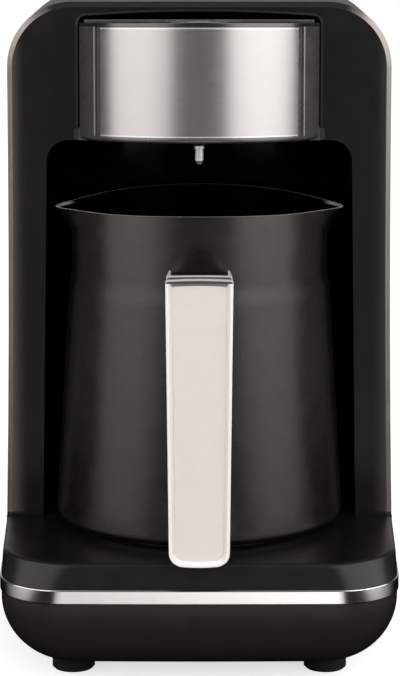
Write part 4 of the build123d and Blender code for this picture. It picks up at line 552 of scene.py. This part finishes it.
# ---------------------------------------------------------------- probe
# Polished steel tube in a gloss collar that is pressed into the head's floor. Its grey tip feels
# the rising foam.
COLLAR_COLOUR = (0.006, 0.006, 0.006)
TUBE_COLOUR = (0.93, 0.92, 0.91)
TIP_COLOUR = (0.25, 0.25, 0.26)
collar_black = plain_finish("collar_black", COLLAR_COLOUR, roughness=(0.15, 0.22), lumps=900, depth=4e-6)
wear_finish("probe_collar", collar_black)
probe_steel = plain_finish("probe_steel", TUBE_COLOUR, roughness=(0.3, 0.38), lumps=3000, depth=6e-6,
                           metallic=0.35, drift=0.04)
wear_finish("probe_tube", probe_steel)
probe_grey = plain_finish("probe_grey", TIP_COLOUR, roughness=(0.4, 0.5), lumps=3000, depth=8e-6,
                          metallic=0.6)
wear_finish("probe_tip", probe_grey)

# ---------------------------------------------------------------- hot plate and its heater
# Coated plate in a silicone seal, heated from below by a sheathed ring element on a zinc-plated strap
# that is screwed under the deck. The thermostat and the fuse sit in small steatite bodies.
PLATE_COLOUR = (0.012, 0.012, 0.012)
SEAL_COLOUR = (0.012, 0.012, 0.012)
SHEATH_COLOUR = (0.32, 0.3, 0.28)
STEATITE_COLOUR = (0.6, 0.56, 0.5)
ZINC_COLOUR = (0.55, 0.55, 0.52)
plate_metal = plain_finish("plate_metal", PLATE_COLOUR, roughness=(0.4, 0.5), lumps=2200, depth=2e-5,
                           metallic=0.2)
wear_finish("hot_plate", plate_metal)
seal_silicone = plain_finish("seal_silicone", SEAL_COLOUR, roughness=(0.55, 0.65), lumps=1800, depth=1e-5)
wear_finish("plate_seal", seal_silicone)
element_steel = plain_finish("element_steel", SHEATH_COLOUR, roughness=(0.4, 0.5), lumps=2000, depth=1e-5,
                             metallic=1.0)
wear_finish("heating_element", element_steel)
steatite = plain_finish("steatite", STEATITE_COLOUR, roughness=(0.6, 0.7), lumps=2500, depth=3e-5)
for sensor in ("thermostat", "thermal_fuse"):
    wear_finish(sensor, steatite)
zinc_steel = plain_finish("zinc_steel", ZINC_COLOUR, roughness=(0.35, 0.45), lumps=1200, depth=1e-5,
                          metallic=1.0)
wear_finish("plate_carrier", zinc_steel)
wear_finish("carrier_screws", screw_steel)

# ---------------------------------------------------------------- pot
# Spun aluminium pot with a charcoal satin coating; its inside and its upward-facing faces are painted
# near black as painted shade. Its rim is cut after coating, so the edge shows bare metal. A machined
# disc under it meets the hot plate.
POT_COLOUR = (0.088, 0.0815, 0.0775)
# painted shade for the pot's inside
POT_INSIDE_SHADE = (0.002, 0.002, 0.002)
BARE_METAL = (0.62, 0.60, 0.58)
DISC_COLOUR = (0.6, 0.6, 0.6)
COAT_METAL = 0.97           # the coating is full of metal flakes
RIM_METAL = 0.35
RIM_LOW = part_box("pot_vessel")[1][2] - 0.0032
RIM_TURN = (0.4, 0.6)       # upward share of the normal from which the rim counts as cut
INWARD = (-0.002, -0.008)   # place times normal, from which a face counts as the pot's inside
POT_FLOOR = 0.049
FLOOR_TURN = (0.7, 0.8)     # upward share of the normal from which a face counts as its floor and is painted near black as shade
SHALLOW = (0.2, 0.4)        # slopes below the first are evened out by the thick coat
COAT_EVENS = 0.25           # which leaves this share of them in its gloss
pot_coat = plain_finish("pot_coat", POT_COLOUR, roughness=(0.25, 0.29), lumps=2600, depth=6e-6,
                        specular=0.3, drift=0.08, cloud=20)
shader, colour = worn_colour(pot_coat)
place, facing = position_of(pot_coat)
outward = calculate(pot_coat, "ADD", calculate(pot_coat, "MULTIPLY", place["X"], facing["X"]),
                    calculate(pot_coat, "MULTIPLY", place["Y"], facing["Y"]))
inside = overlap(pot_coat, ramp_between(pot_coat, outward, *INWARD),
                 above(pot_coat, place["Z"], POT_FLOOR, blur=0.0005))
painted_inside_shade = calculate(pot_coat, "MAXIMUM", inside, ramp_between(pot_coat, facing["Z"], *FLOOR_TURN))
cut_rim = overlap(pot_coat, above(pot_coat, place["Z"], RIM_LOW, blur=0.0004),
                  ramp_between(pot_coat, facing["Z"], *RIM_TURN))
# Painted shade: the pot's inside and upward-facing faces are painted near black.
colour = blend_colour(pot_coat, painted_inside_shade, colour, POT_INSIDE_SHADE)
feed(pot_coat, blend_colour(pot_coat, cut_rim, colour, BARE_METAL), shader, "Base Color")
feed(pot_coat, blend_value(pot_coat, cut_rim, COAT_METAL, RIM_METAL), shader, "Metallic")
slope_kept = ramp_between(pot_coat, without_sign(pot_coat, facing["Z"]), *SHALLOW, COAT_EVENS, 1.0)
even_normal = add_node(pot_coat, "ShaderNodeCombineXYZ")
feed(pot_coat, facing["X"], even_normal, "X")
feed(pot_coat, facing["Y"], even_normal, "Y")
feed(pot_coat, overlap(pot_coat, facing["Z"], slope_kept), even_normal, "Z")
pot_bump = shader.inputs["Normal"].links[0].from_node
feed(pot_coat, even_normal.outputs["Vector"], pot_bump, "Normal")
wear_finish("pot_vessel", pot_coat)
disc_aluminium = plain_finish("disc_aluminium", DISC_COLOUR, roughness=(0.3, 0.4), lumps=2000, depth=1e-5,
                              metallic=1.0)
wear_finish("pot_base_disc", disc_aluminium)

# ---------------------------------------------------------------- handle
# Bright plated frame with a light metallic inlay on its face and a dark heat-proof grip inside. Its
# downward top bevel and the front of its top ridge are painted darker as painted shade.
# A pressed bracket on the pot's neck runs into its arm, and one screw holds the two together.
FRAME_COLOUR = (0.97, 0.955, 0.945)
INLAY_COLOUR = (0.83, 0.765, 0.735)
# painted shade on the handle's downward-facing top bevel
BEVEL_SHADE_COLOUR = (0.2, 0.195, 0.18)
# painted shade on the front face of the handle's top ridge
RIDGE_SHADE_COLOUR = (0.06, 0.06, 0.058)
GRIP_COLOUR = (0.012, 0.012, 0.012)
BEVEL_FRONT = (-0.9, -0.85)  # forward share of the normal between which a face counts as a bevel
BEVEL_SIDE = (-0.4, -0.5)
BEVEL_INWARD = (-0.002, -0.004)  # place times normal, from which a bevel faces the inlay
BEVEL_DOWN = (-0.4, -0.6)   # upward share of the normal from which a bevel faces down and is painted grey as painted shade
RIDGE_FRONT = (-0.6, -0.8)  # forward share of the normal from which the top ridge's front face is painted dark as painted shade
RIDGE_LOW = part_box("handle_shell")[1][2] - 0.0024
handle_bright = plain_finish("handle_bright", FRAME_COLOUR, roughness=(0.2, 0.26), lumps=900, depth=4e-6,
                             metallic=0.05, drift=0.01)
shader, colour = worn_colour(handle_bright)
place, facing = position_of(handle_bright)
sloping = overlap(handle_bright, ramp_between(handle_bright, facing["Y"], *BEVEL_FRONT),
                  ramp_between(handle_bright, facing["Y"], *BEVEL_SIDE))
inward = calculate(handle_bright, "MULTIPLY", place["X"], facing["X"])
side_bevel = overlap(handle_bright, sloping, ramp_between(handle_bright, inward, *BEVEL_INWARD))
top_bevel_shade = overlap(handle_bright, sloping, ramp_between(handle_bright, facing["Z"], *BEVEL_DOWN))
ridge_front_shade = overlap(handle_bright, ramp_between(handle_bright, facing["Y"], *RIDGE_FRONT),
                      above(handle_bright, place["Z"], RIDGE_LOW, blur=0.0002))
colour = blend_colour(handle_bright, side_bevel, colour, INLAY_COLOUR)
# Painted shade: the top bevel, which faces down, is painted grey.
colour = blend_colour(handle_bright, top_bevel_shade, colour, BEVEL_SHADE_COLOUR)
# Painted shade: the front face of the top ridge is painted dark.
feed(handle_bright, blend_colour(handle_bright, ridge_front_shade, colour, RIDGE_SHADE_COLOUR), shader, "Base Color")
wear_finish("handle_shell", handle_bright)
inlay_champagne = plain_finish("inlay_champagne", INLAY_COLOUR, roughness=(0.42, 0.5), lumps=2500,
                               depth=6e-6, metallic=0.2, drift=0.03)
wear_finish("handle_inlay", inlay_champagne)
grip_black = plain_finish("grip_black", GRIP_COLOUR, roughness=(0.5, 0.6), lumps=2500, depth=3e-5)
wear_finish("handle_grip", grip_black)
bracket_steel = plain_finish("bracket_steel", STEEL_COLOUR, roughness=(0.35, 0.45), lumps=2000, depth=1e-5,
                             metallic=1.0)
wear_finish("handle_bracket", bracket_steel)
